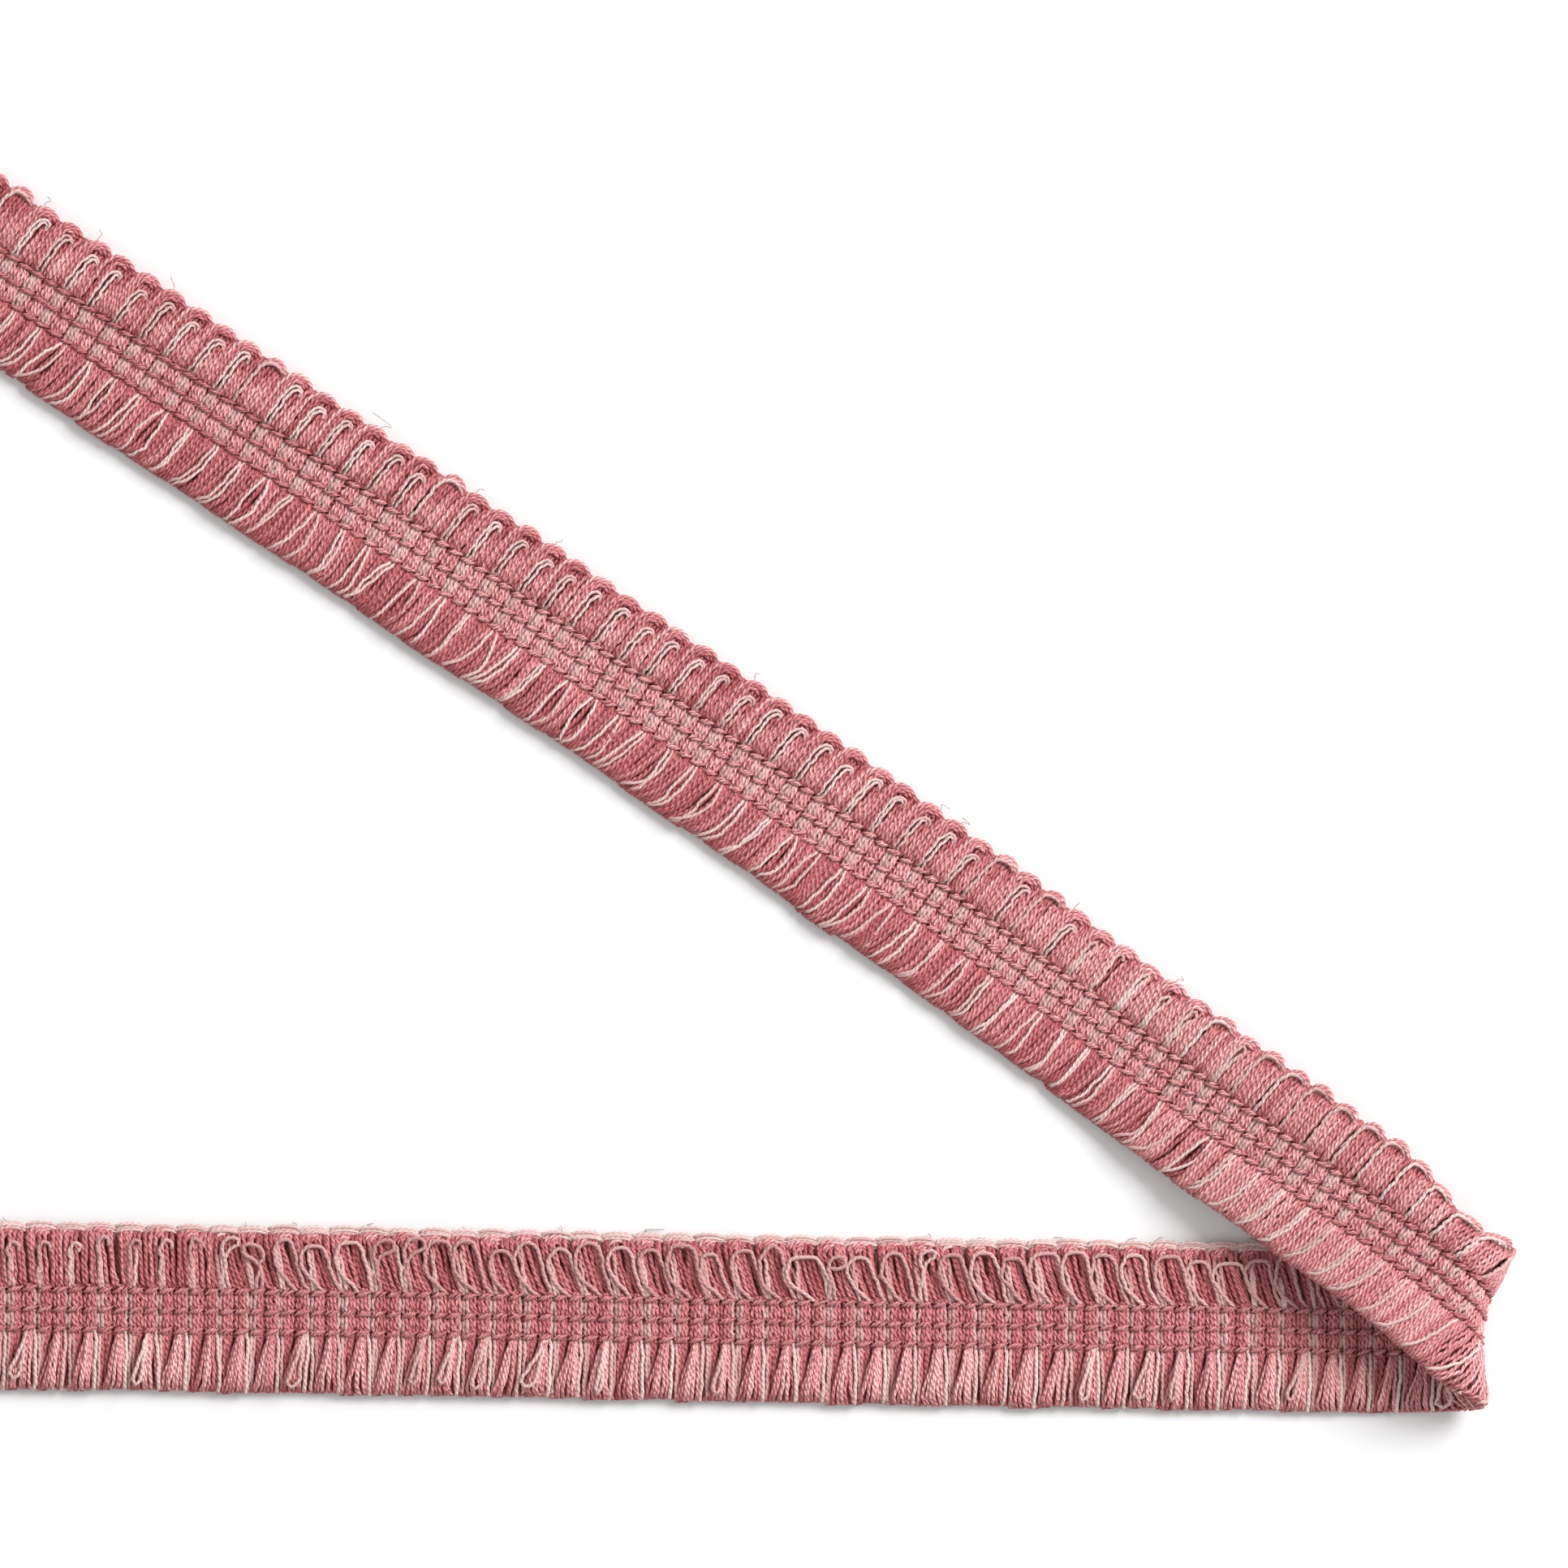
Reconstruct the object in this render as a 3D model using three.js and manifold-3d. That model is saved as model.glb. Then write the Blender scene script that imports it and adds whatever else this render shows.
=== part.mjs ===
// A length of looped passementerie trim, folded once across itself so that it lies in a V.
//
// The trim is woven in one piece. A narrow gimp heading, bound by three raised warp rows, runs down
// the middle. Its weft bundles turn back in closed loops along both sides: rounded arch loops on one
// side, spreading fan loops on the other. The lower leg lies with its back up. At the fold it rolls
// over in an open bend, crosses above the lower leg, comes down and lies face up on the surface.
//
// Everything is first set out on the trim laid out flat, as (u, v, w): u runs along the heading,
// v across it, positive on the arch side, and w through it, positive on the face. Each point is then
// rolled over the fold. Millimetres, +Z up, origin under the middle of the part on the surface.

import * as THREE from 'three';
import { mergeVertices } from 'three/addons/utils/BufferGeometryUtils.js';
import Module from 'manifold-3d';

const wasm = await Module();
wasm.setup();

// Driving dimensions.
const LOOP_PITCH = 5.35; // one loop uses two weft bundles
const ROW_PITCH = 3.5; // between the three binding warp rows
const HEADING_WIDTH = 8.6;
const HEADING_THICKNESS = 2.5;
const LOOP_REACH = 11.2; // from an outer warp row to the tips of the loops
const FIT_GAP = 0.3; // between the heading and the loops' backing strips

// The fold: a half turn about a level axis that crosses the trim at a slant.
const FOLD_RADIUS = 6; // of the heading's middle
const FOLD_AXIS_ANGLE = THREE.MathUtils.degToRad(79); // in plan, from +X
const FOLD_CENTRE = { x: 130.5, y: -91.1 }; // the fold axis where the heading crosses it
const DESCENT_LENGTH = 78; // over which the upper leg comes down to the surface
const FOLD_FLARE = { arch: 3, fan: 4 }; // how far the loop tips splay outwards round the fold

// The middle row with the fold opened out flat: run is measured square to the fold axis from the
// outermost line of the fold, drift along that axis.
const FLAT_PATH = [
  { run: -270, drift: -49.7 },
  { run: -189, drift: -35.3 },
  { run: -118, drift: -23 },
  { run: -48, drift: -10.5 },
  { run: -23, drift: -6.1 },
  { run: -9, drift: -3.4 },
  { run: 0, drift: 0 },
  { run: 9, drift: 5.3 },
  { run: 18, drift: 10.1 },
  { run: 52, drift: 25.5 },
  { run: 131, drift: 62.3 },
  { run: 213, drift: 97.4 },
  { run: 294, drift: 131.2 },
  { run: 306, drift: 136.3 },
];

// How the loops of each side stand, in millimetres. Lean is how far a tip is pushed along the trim,
// crown how far a loop swells past the heading on the side that is up.
const LOOP_SIDES = {
  arch: {
    sign: 1,
    lower: { lean: -1.1, crown: 1.5, reach: 11.4 },
    upper: { lean: -1.5, crown: 1.65, reach: 10.8 },
  },
  fan: {
    sign: -1,
    lower: { lean: -0.7, crown: 1.8, reach: 11 },
    upper: { lean: 3.2, crown: 1.45, reach: 10.8 },
  },
};

// Cross-sections of a loop from its root to its tip: out is the share of the reach, width the share
// of the pitch, full the share of the crown, bend the share of the lean.
const LOOP_RINGS = [
  { out: 0.42, width: 0.88, full: 0.9, bend: 0.16 },
  { out: 0.86, width: 0.9, full: 1, bend: 0.75 },
  { out: 1, width: 0.5, full: 0.55, bend: 1 },
];
const LOOP_ROOT = { depth: 0.7, width: 0.84, half: 0.8 }; // where a loop is rooted in its backing
const INNER_TAPER = 0.78; // width of a loop's swollen side against its resting side
const UNEVENNESS = { crown: 0.15, lean: 0.12, reach: 0.25 }; // how far hand-made loops differ

// The loops are grouped by how the trim lies there. Each group starts at a run of the flat path,
// and fullReach is the share of their reach that its loops keep: the bend draws them in.
const LOOP_GROUPS = [
  { name: 'lower_leg', start: -270, fullReach: 1 },
  { name: 'fold_under', start: -18, fullReach: 0.97 },
  { name: 'fold_turn', start: -6, fullReach: 0.93 },
  { name: 'fold_over', start: 6, fullReach: 0.93 },
  { name: 'descent', start: 16, fullReach: 0.98 },
  { name: 'upper_leg', start: 84, fullReach: 1 },
];

// The raised binding rows of the heading.
const ROW_HEIGHT = 0.45;
const ROW_FOOT = 0.58; // half width where a row rises from the band
const ROW_TOP = 0.32; // half width of its crest

// Spacing of the heading's cross-sections up to each run: close together round the fold and where
// the upper leg comes down, far apart where the trim lies straight.
const SECTION_STEPS = [
  { upTo: -14, step: 30 },
  { upTo: 14, step: 1.6 },
  { upTo: 90, step: 8 },
  { upTo: Infinity, step: 32 },
];

const SURFACE_HALF = HEADING_THICKNESS / 2;
const BACKING_INNER = HEADING_WIDTH / 2 + FIT_GAP;
const BACKING_WIDTH = 1.4;
const QUARTER_TURN = (FOLD_RADIUS * Math.PI) / 2;

const smooth = THREE.MathUtils.smoothstep;
const mix = THREE.MathUtils.lerp;

const flatPath = new THREE.CatmullRomCurve3(
  FLAT_PATH.map(({ run, drift }) => new THREE.Vector3(run, drift, 0)),
  false,
  'centripetal',
);
flatPath.arcLengthDivisions = 2000;
const TRIM_LENGTH = flatPath.getLength();
const LOOP_COUNT = Math.round(TRIM_LENGTH / LOOP_PITCH);
const PITCH = TRIM_LENGTH / LOOP_COUNT;

// Round the fold the back's fullness of the lower leg gives way to the face's of the upper leg.
function legShares(run) {
  return {
    upper: smooth(run, -QUARTER_TURN, QUARTER_TURN),
    faceFull: smooth(run, -0.7 * QUARTER_TURN, 0.3 * QUARTER_TURN),
    backFull: 1 - smooth(run, -0.3 * QUARTER_TURN, 0.7 * QUARTER_TURN),
  };
}

// The fold seen along its axis: where the heading's middle is, and the direction its face looks.
function foldSection(run) {
  if (run < -QUARTER_TURN) {
    return { out: run + QUARTER_TURN, up: SURFACE_HALF, faceOut: 0, faceUp: -1 };
  }
  if (run <= QUARTER_TURN) {
    const turn = run / FOLD_RADIUS;
    return {
      out: FOLD_RADIUS * Math.cos(turn),
      up: SURFACE_HALF + FOLD_RADIUS * (1 + Math.sin(turn)),
      faceOut: Math.cos(turn),
      faceUp: Math.sin(turn),
    };
  }
  const share = Math.min((run - QUARTER_TURN) / DESCENT_LENGTH, 1);
  const lift = 2 * FOLD_RADIUS;
  const tilt = Math.atan((lift * 6 * share * (1 - share)) / DESCENT_LENGTH);
  return {
    out: QUARTER_TURN - run,
    up: SURFACE_HALF + lift * (1 - smooth(share, 0, 1)),
    faceOut: -Math.sin(tilt),
    faceUp: Math.cos(tilt),
  };
}

const foldAxis = { x: Math.cos(FOLD_AXIS_ANGLE), y: Math.sin(FOLD_AXIS_ANGLE) };
const foldOut = { x: Math.sin(FOLD_AXIS_ANGLE), y: -Math.cos(FOLD_AXIS_ANGLE) };

// Where (u, v) of the trim comes on the opened-out path.
function unrolled(u, v) {
  const share = THREE.MathUtils.clamp(u / TRIM_LENGTH, 0, 1);
  const centre = flatPath.getPointAt(share);
  const along = flatPath.getTangentAt(share);
  const spare = u - share * TRIM_LENGTH;
  return {
    run: centre.x + along.x * spare - along.y * v,
    drift: centre.y + along.y * spare + along.x * v,
  };
}

// A point of the trim, rolled over the fold into its place.
function place(u, v, w) {
  const { run, drift } = unrolled(u, v);
  const steepness = Math.abs(run) < QUARTER_TURN ? Math.cos(run / FOLD_RADIUS) ** 3 : 0;
  const edgeShare = v / (ROW_PITCH + LOOP_REACH);
  const flare = v > 0 ? FOLD_FLARE.arch : FOLD_FLARE.fan;
  const proud = w + flare * steepness * edgeShare ** 2;
  const section = foldSection(run);
  const out = section.out + section.faceOut * proud;
  return new THREE.Vector3(
    FOLD_CENTRE.x + foldOut.x * out + foldAxis.x * drift,
    FOLD_CENTRE.y + foldOut.y * out + foldAxis.y * drift,
    section.up + section.faceUp * proud,
  );
}

// How far along the heading the flat path reaches a given run.
function lengthAtRun(run) {
  let low = 0;
  let high = 1;
  for (let i = 0; i < 40; i += 1) {
    const middle = (low + high) / 2;
    if (flatPath.getPointAt(middle).x < run) {
      low = middle;
    } else {
      high = middle;
    }
  }
  return low * TRIM_LENGTH;
}

// A closed skin through a row of rings, each given as (u, v, w) points in the same order. The end
// faces are filled as they look across the trim ('v') or along it ('u').
function loft(rings, across) {
  const count = rings[0].length;
  const positions = rings.flat().flatMap(({ u, v, w }) => place(u, v, w).toArray());
  const faces = [];
  for (let i = 0; i < rings.length - 1; i += 1) {
    for (let j = 0; j < count; j += 1) {
      const a = i * count + j;
      const b = i * count + ((j + 1) % count);
      faces.push(a, b, b + count, a, b + count, a + count);
    }
  }
  const outline = rings[0].map((point) => new THREE.Vector2(point[across], point.w));
  const last = (rings.length - 1) * count;
  const turned = THREE.ShapeUtils.isClockWise(outline);
  for (const triangle of THREE.ShapeUtils.triangulateShape(outline, [])) {
    const [a, b, c] = turned ? [...triangle].reverse() : triangle;
    faces.push(a, c, b, last + a, last + b, last + c);
  }
  const geometry = new THREE.BufferGeometry();
  geometry.setAttribute('position', new THREE.Float32BufferAttribute(positions, 3));
  geometry.setIndex(faces);
  return geometry;
}

// The volume sign tells whether a skin's faces point out; an inside-out one is turned.
function facingOut(geometry) {
  const position = geometry.getAttribute('position');
  const index = geometry.getIndex().array;
  const corner = (i) => new THREE.Vector3().fromBufferAttribute(position, i);
  let volume = 0;
  for (let i = 0; i < index.length; i += 3) {
    volume += corner(index[i]).dot(corner(index[i + 1]).cross(corner(index[i + 2])));
  }
  if (volume < 0) {
    for (let i = 0; i < index.length; i += 3) {
      [index[i + 1], index[i + 2]] = [index[i + 2], index[i + 1]];
    }
  }
  return geometry;
}

function toSolid(geometry) {
  const merged = mergeVertices(facingOut(geometry));
  return new wasm.Manifold(
    new wasm.Mesh({
      numProp: 3,
      vertProperties: new Float32Array(merged.getAttribute('position').array),
      triVerts: new Uint32Array(merged.getIndex().array),
    }),
  );
}

function toGeometry(solid) {
  const mesh = solid.getMesh();
  const geometry = new THREE.BufferGeometry();
  geometry.setAttribute('position', new THREE.BufferAttribute(mesh.vertProperties, 3));
  geometry.setIndex(new THREE.BufferAttribute(mesh.triVerts, 1));
  return geometry;
}

// Places along the heading where it needs a cross-section.
function sectionPlaces() {
  const places = [0];
  let start = 0;
  for (const { upTo, step } of SECTION_STEPS) {
    const end = upTo === Infinity ? TRIM_LENGTH : lengthAtRun(upTo);
    const parts = Math.ceil((end - start) / step);
    for (let i = 1; i <= parts; i += 1) {
      places.push(start + ((end - start) * i) / parts);
    }
    start = end;
  }
  return places;
}

const SECTION_PLACES = sectionPlaces();

// The heading: a flat woven band with three raised warp rows on whichever side shows. The side
// that lies on the surface is pressed flat.
function headingRing(u) {
  const { faceFull, backFull } = legShares(unrolled(u, 0).run);
  const side = (direction, height) => {
    const points = [{ u, v: -direction * (HEADING_WIDTH / 2), w: direction * SURFACE_HALF }];
    for (const row of [-1, 0, 1]) {
      for (const [offset, rise] of [
        [-ROW_FOOT, 0],
        [-ROW_TOP, height],
        [ROW_TOP, height],
        [ROW_FOOT, 0],
      ]) {
        points.push({
          u,
          v: direction * (row * ROW_PITCH + offset),
          w: direction * (SURFACE_HALF + rise),
        });
      }
    }
    points.push({ u, v: direction * (HEADING_WIDTH / 2), w: direction * SURFACE_HALF });
    return points;
  };
  return [...side(1, ROW_HEIGHT * faceFull), ...side(-1, ROW_HEIGHT * backFull)];
}

function makeHeading() {
  return facingOut(loft(SECTION_PLACES.map(headingRing), 'v'));
}

// A repeatable unevenness between -1 and 1, different for each loop.
function uneven(seed) {
  const value = Math.sin(seed * 12.9898 + 4.1) * 43758.5453;
  return 2 * (value - Math.floor(value)) - 1;
}

// A four-sided ring of a loop, wider on the side that rests.
function loopRing({ u, v, half, faceW, backW, faceFull, backFull }) {
  const faceHalf = half * mix(1, INNER_TAPER, faceFull);
  const backHalf = half * mix(1, INNER_TAPER, backFull);
  return [
    { u: u - faceHalf, v, w: faceW },
    { u: u + faceHalf, v, w: faceW },
    { u: u + backHalf, v, w: -backW },
    { u: u - backHalf, v, w: -backW },
  ];
}

// One closed loop of the edge, rooted inside its backing strip.
function makeLoop(side, index, fullReach) {
  const middle = (index + 0.5) * PITCH;
  const { upper } = legShares(unrolled(middle, 0).run);
  const part = (name) => mix(side.lower[name], side.upper[name], upper);
  const crown = part('crown') + UNEVENNESS.crown * uneven(index + 7 * side.sign);
  const lean = part('lean') + UNEVENNESS.lean * uneven(index + 31 * side.sign);
  const reach = fullReach * part('reach') + UNEVENNESS.reach * uneven(index + 53 * side.sign);
  const root = loopRing({
    u: middle,
    v: side.sign * (BACKING_INNER + LOOP_ROOT.depth),
    half: (LOOP_ROOT.width * PITCH) / 2,
    faceW: LOOP_ROOT.half,
    backW: LOOP_ROOT.half,
    faceFull: 0,
    backFull: 0,
  });
  const rings = LOOP_RINGS.map(({ out, width, full, bend }) => {
    const u = middle + bend * lean;
    const v = side.sign * (ROW_PITCH + out * reach);
    const { faceFull, backFull } = legShares(unrolled(u, v).run);
    return loopRing({
      u,
      v,
      half: (width * PITCH) / 2,
      faceW: SURFACE_HALF + crown * full * faceFull,
      backW: SURFACE_HALF + crown * full * backFull,
      faceFull,
      backFull,
    });
  });
  return toSolid(loft([root, ...rings], 'u'));
}

// The narrow strip that carries a run of loops along one side. It bends where the heading does.
function makeBacking(side, first, last) {
  const from = first * PITCH + (first === 0 ? 0 : FIT_GAP / 2);
  const to = last * PITCH - (last === LOOP_COUNT ? 0 : FIT_GAP / 2);
  const between = SECTION_PLACES.filter((u) => u > from + FIT_GAP && u < to - FIT_GAP);
  const inner = side.sign * BACKING_INNER;
  const outer = side.sign * (BACKING_INNER + BACKING_WIDTH);
  const rings = [from, ...between, to].map((u) => [
    { u, v: inner, w: SURFACE_HALF },
    { u, v: outer, w: SURFACE_HALF },
    { u, v: outer, w: -SURFACE_HALF },
    { u, v: inner, w: -SURFACE_HALF },
  ]);
  return toSolid(loft(rings, 'v'));
}

function makeLoopGroup(side, first, last, fullReach) {
  const pieces = [makeBacking(side, first, last)];
  for (let index = first; index < last; index += 1) {
    pieces.push(makeLoop(side, index, fullReach));
  }
  return toGeometry(wasm.Manifold.union(pieces));
}

const headingFinish = new THREE.MeshStandardMaterial({
  color: 0xc98088,
  roughness: 0.7,
  metalness: 0,
});
const archFinish = new THREE.MeshStandardMaterial({ color: 0xc6787f, roughness: 0.6, metalness: 0 });
const fanFinish = new THREE.MeshStandardMaterial({ color: 0xd08f92, roughness: 0.6, metalness: 0 });

function namedMesh(name, geometry, material) {
  const mesh = new THREE.Mesh(geometry, material);
  mesh.name = name;
  return mesh;
}

const trim = new THREE.Group();
trim.add(namedMesh('gimp_heading', makeHeading(), headingFinish));
for (const [kind, finish] of [
  ['arch', archFinish],
  ['fan', fanFinish],
]) {
  const edge = new THREE.Group();
  LOOP_GROUPS.forEach(({ name, start, fullReach }, i) => {
    const next = LOOP_GROUPS[i + 1];
    const first = Math.round(lengthAtRun(start) / PITCH);
    const last = next ? Math.round(lengthAtRun(next.start) / PITCH) : LOOP_COUNT;
    const geometry = makeLoopGroup(LOOP_SIDES[kind], first, last, fullReach);
    edge.add(namedMesh(`${kind}_loops_${name}`, geometry, finish));
  });
  trim.add(edge);
}

export default trim;
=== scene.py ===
# A length of looped passementerie trim in pinks, folded once across itself so that it lies in a V.
# It is woven in one go: weft bundles of glossy pink and dull pale yarns cross a narrow heading, are
# bound there by three warp rows, and turn back in free loops along both edges.
import itertools
import math

import bpy
import numpy as np
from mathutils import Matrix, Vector


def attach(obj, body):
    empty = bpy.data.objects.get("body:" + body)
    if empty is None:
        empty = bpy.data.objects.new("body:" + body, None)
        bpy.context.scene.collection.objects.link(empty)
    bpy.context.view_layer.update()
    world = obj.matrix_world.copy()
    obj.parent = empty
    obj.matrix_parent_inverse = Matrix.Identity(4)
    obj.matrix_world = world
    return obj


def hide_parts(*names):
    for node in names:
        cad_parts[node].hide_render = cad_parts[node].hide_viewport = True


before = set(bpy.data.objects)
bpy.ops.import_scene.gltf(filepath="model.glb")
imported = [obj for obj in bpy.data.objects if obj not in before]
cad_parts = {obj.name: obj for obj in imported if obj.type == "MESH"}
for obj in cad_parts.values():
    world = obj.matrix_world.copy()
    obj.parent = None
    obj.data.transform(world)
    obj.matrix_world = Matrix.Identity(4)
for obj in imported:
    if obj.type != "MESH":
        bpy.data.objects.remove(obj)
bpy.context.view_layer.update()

# The woven ground
#
# The ground is the narrow band in the middle of the trim, where the warp holds the weft. It is a
# thin, dense cloth in the deep pink of the warp, and shows only as the dark of the gaps between
# bundles. It runs the whole length and rolls over the open fold, so it also sets the trim's lay.

# A place on the trim is u along it, v across it towards the arch loops and w high on its face, all
# in millimetres.
MM = 0.001
LOOP_PITCH = 5.35
ROW_PITCH = 3.5
LOOP_REACH = 11.2
REST_HEIGHT = 1.25  # of the ground above the surface
GROUND_WIDTH = 10.4
GROUND_THICKNESS = 0.5

FOLD_RADIUS = 6.0
FOLD_AXIS = math.radians(79)  # in plan, from +X
FOLD_CENTRE = np.array([130.5, -91.1])
DESCENT_LENGTH = 78.0
FOLD_FLARE = {"arch": 3.0, "fan": 4.0}
FOLD_GATHER = {"depth": 4.0, "middle": 5.0, "reach": 10.0}  # the arch loops draw in there
QUARTER_TURN = FOLD_RADIUS * math.pi / 2

# The middle row with the fold opened out flat, as its run square to the fold axis and its drift
# along it.
FLAT_PATH = [
    (-270, -49.7), (-189, -35.3), (-118, -23), (-48, -10.5), (-23, -6.1), (-9, -3.4), (0, 0),
    (9, 5.3), (18, 10.1), (52, 25.5), (131, 62.3), (213, 97.4), (294, 131.2), (306, 136.3),
]


def mix(a, b, share):
    return a + (b - a) * share


def soft_step(x, low, high):
    share = np.clip((x - low) / (high - low), 0, 1)
    return share * share * (3 - 2 * share)


def curve_through(stops, fineness=400):
    """A smooth curve through the stops, which passes each at an even pace."""
    points = np.array(stops, float)
    points = np.vstack([2 * points[0] - points[1], points, 2 * points[-1] - points[-2]])
    line = []
    for before, start, end, after in zip(points, points[1:], points[2:], points[3:]):
        gaps = [np.linalg.norm(b - a) ** 0.5 for a, b in ((before, start), (start, end), (end, after))]
        leave = (start - before) / gaps[0] - (end - before) / (gaps[0] + gaps[1]) + (end - start) / gaps[1]
        arrive = (end - start) / gaps[1] - (after - start) / (gaps[1] + gaps[2]) + (after - end) / gaps[2]
        leave, arrive = leave * gaps[1], arrive * gaps[1]
        t = np.linspace(0, 1, fineness, endpoint=False)[:, None]
        bend = -3 * start + 3 * end - 2 * leave - arrive
        close = 2 * start - 2 * end + leave + arrive
        line.append(start + leave * t + bend * t**2 + close * t**3)
    return np.vstack(line + [points[-2:-1]])


MIDDLE_ROW = curve_through(FLAT_PATH)
MIDDLE_STEPS = np.linalg.norm(np.diff(MIDDLE_ROW, axis=0), axis=1)
MIDDLE_LENGTHS = np.concatenate([[0], np.cumsum(MIDDLE_STEPS)])
MIDDLE_HEADINGS = np.gradient(MIDDLE_ROW, MIDDLE_LENGTHS, axis=0)
TRIM_LENGTH = MIDDLE_LENGTHS[-1]
LOOP_COUNT = round(TRIM_LENGTH / LOOP_PITCH)
PITCH = TRIM_LENGTH / LOOP_COUNT


def opened_out(u, v):
    """The run and drift of points of the trim with the fold opened out flat."""
    inside = np.clip(u, 0, TRIM_LENGTH)
    centre = [np.interp(inside, MIDDLE_LENGTHS, MIDDLE_ROW[:, i]) for i in (0, 1)]
    along = [np.interp(inside, MIDDLE_LENGTHS, MIDDLE_HEADINGS[:, i]) for i in (0, 1)]
    spare = u - inside
    run = centre[0] + along[0] * spare - along[1] * v
    drift = centre[1] + along[1] * spare + along[0] * v
    return run, drift


def rolled_over(points):
    """Points (u, v, w) of the trim in their place on the folded piece, in metres."""
    u, v, w = np.moveaxis(points, -1, 0)
    run, drift = opened_out(u, v)
    gathered = np.exp(-(((run - FOLD_GATHER["middle"]) / FOLD_GATHER["reach"]) ** 2))
    outwards = np.clip((v - ROW_PITCH) / LOOP_REACH, 0, 1)
    run, drift = opened_out(u, v - FOLD_GATHER["depth"] * gathered * outwards)
    turn = np.clip(run / FOLD_RADIUS, -math.pi / 2, math.pi / 2)
    flare = np.where(v > 0, FOLD_FLARE["arch"], FOLD_FLARE["fan"])
    proud = w + flare * np.cos(turn) ** 3 * (v / (ROW_PITCH + LOOP_REACH)) ** 2
    before = np.minimum(run + QUARTER_TURN, 0)
    after = np.maximum(run - QUARTER_TURN, 0)
    share = np.minimum(after / DESCENT_LENGTH, 1)
    # The upper leg comes down by the soft step 3s^2 - 2s^3, whose slope is 6s(1 - s).
    tilt = np.arctan(2 * FOLD_RADIUS * 6 * share * (1 - share) / DESCENT_LENGTH)
    out = FOLD_RADIUS * np.cos(turn) + before - after
    up = REST_HEIGHT + FOLD_RADIUS * (1 + np.sin(turn)) - 2 * FOLD_RADIUS * share**2 * (3 - 2 * share)
    face_out = np.where(after > 0, -np.sin(tilt), np.cos(turn))
    face_up = np.where(after > 0, np.cos(tilt), np.sin(turn))
    out = out + face_out * proud
    x = FOLD_CENTRE[0] + math.sin(FOLD_AXIS) * out + math.cos(FOLD_AXIS) * drift
    y = FOLD_CENTRE[1] - math.cos(FOLD_AXIS) * out + math.sin(FOLD_AXIS) * drift
    return np.stack([x, y, up + face_up * proud], axis=-1) * MM


def mesh_piece(name, points, faces, finishes):
    """A smooth object from points in metres and arrays of faces, each with its own corner count."""
    mesh = bpy.data.meshes.new(name)
    corners = np.concatenate([group.ravel() for group in faces])
    sizes = np.concatenate([np.full(len(group), group.shape[1]) for group in faces])
    starts = np.concatenate([[0], np.cumsum(sizes)[:-1]])
    mesh.vertices.add(len(points))
    mesh.vertices.foreach_set("co", points.astype(np.float32).ravel())
    mesh.loops.add(len(corners))
    mesh.loops.foreach_set("vertex_index", corners.astype(np.int32))
    mesh.polygons.add(len(sizes))
    mesh.polygons.foreach_set("loop_start", starts.astype(np.int32))
    mesh.polygons.foreach_set("use_smooth", np.ones(len(sizes), bool))
    mesh.update(calc_edges=True)
    for finish in finishes:
        mesh.materials.append(finish)
    piece = bpy.data.objects.new(name, mesh)
    bpy.context.scene.collection.objects.link(piece)
    return piece


def new_material(name):
    """A material, its shader, a function that adds a node and feeds its inputs, and the links."""
    material = bpy.data.materials.new(name)
    material.use_nodes = True
    nodes, links = material.node_tree.nodes, material.node_tree.links
    shader = nodes["Principled BSDF"]

    def add(kind, operation=None, **inputs):
        node = nodes.new("ShaderNode" + kind)
        if operation:
            node.operation = operation
        for key, value in inputs.items():
            socket = node.inputs[int(key[1:])] if key[1:].isdigit() else node.inputs[key]
            if isinstance(value, bpy.types.Node):
                value = value.outputs[0]
            if isinstance(value, bpy.types.NodeSocket):
                links.new(value, socket)
            else:
                socket.default_value = value
        return node

    return material, shader, add, links


GROUND_RIBS = {"warp": 14.0, "weft": 9.0}  # radians of a rib's wave to a millimetre
GROUND_DYES = [(0.42, 0.075, 0.088, 1), (0.55, 0.14, 0.152, 1)]

ground_finish, shader, add, links = new_material("deep_pink_ground_weave")
place = add("UVMap")
parts = add("SeparateXYZ", i0=place)
warp_wave = add("Math", "MULTIPLY", i0=parts.outputs[1], i1=GROUND_RIBS["warp"])
weft_wave = add("Math", "MULTIPLY", i0=parts, i1=GROUND_RIBS["weft"])
warp = add("Math", "SINE", i0=warp_wave)
weft = add("Math", "SINE", i0=weft_wave)
crossing = add("Math", "MULTIPLY", i0=warp, i1=weft)
raised = add("Math", "MULTIPLY_ADD", i0=crossing, i1=0.5, i2=0.5)
dyes = add("ValToRGB", i0=raised)
for stop, dye in zip(dyes.color_ramp.elements, GROUND_DYES):
    stop.color = dye
links.new(dyes.outputs[0], shader.inputs["Base Color"])
relief = add("Bump", Strength=0.5, Distance=0.0002, Height=raised)
links.new(relief.outputs[0], shader.inputs["Normal"])
shader.inputs["Roughness"].default_value = 0.8

GROUND_STEP = 1.2
ground_places = np.linspace(0, TRIM_LENGTH, round(TRIM_LENGTH / GROUND_STEP) + 1)
half_width, half_thick = GROUND_WIDTH / 2, GROUND_THICKNESS / 2
ground_ring = [(v, -half_thick) for v in (-half_width, 0, half_width)]
ground_ring += [(v, half_thick) for v in (half_width, 0, -half_width)]
ground_points = np.array([[(u, v, w) for v, w in ground_ring] for u in ground_places])
ground_grid = np.arange(ground_points[..., 0].size).reshape(len(ground_places), len(ground_ring))
next_side = np.roll(ground_grid, -1, axis=1)
ground_sides = np.stack([ground_grid[:-1], next_side[:-1], next_side[1:], ground_grid[1:]], axis=-1)
ground_faces = [ground_sides.reshape(-1, 4), ground_grid[:1, ::-1], ground_grid[-1:]]
ground_in_place = rolled_over(ground_points).reshape(-1, 3)
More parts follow.
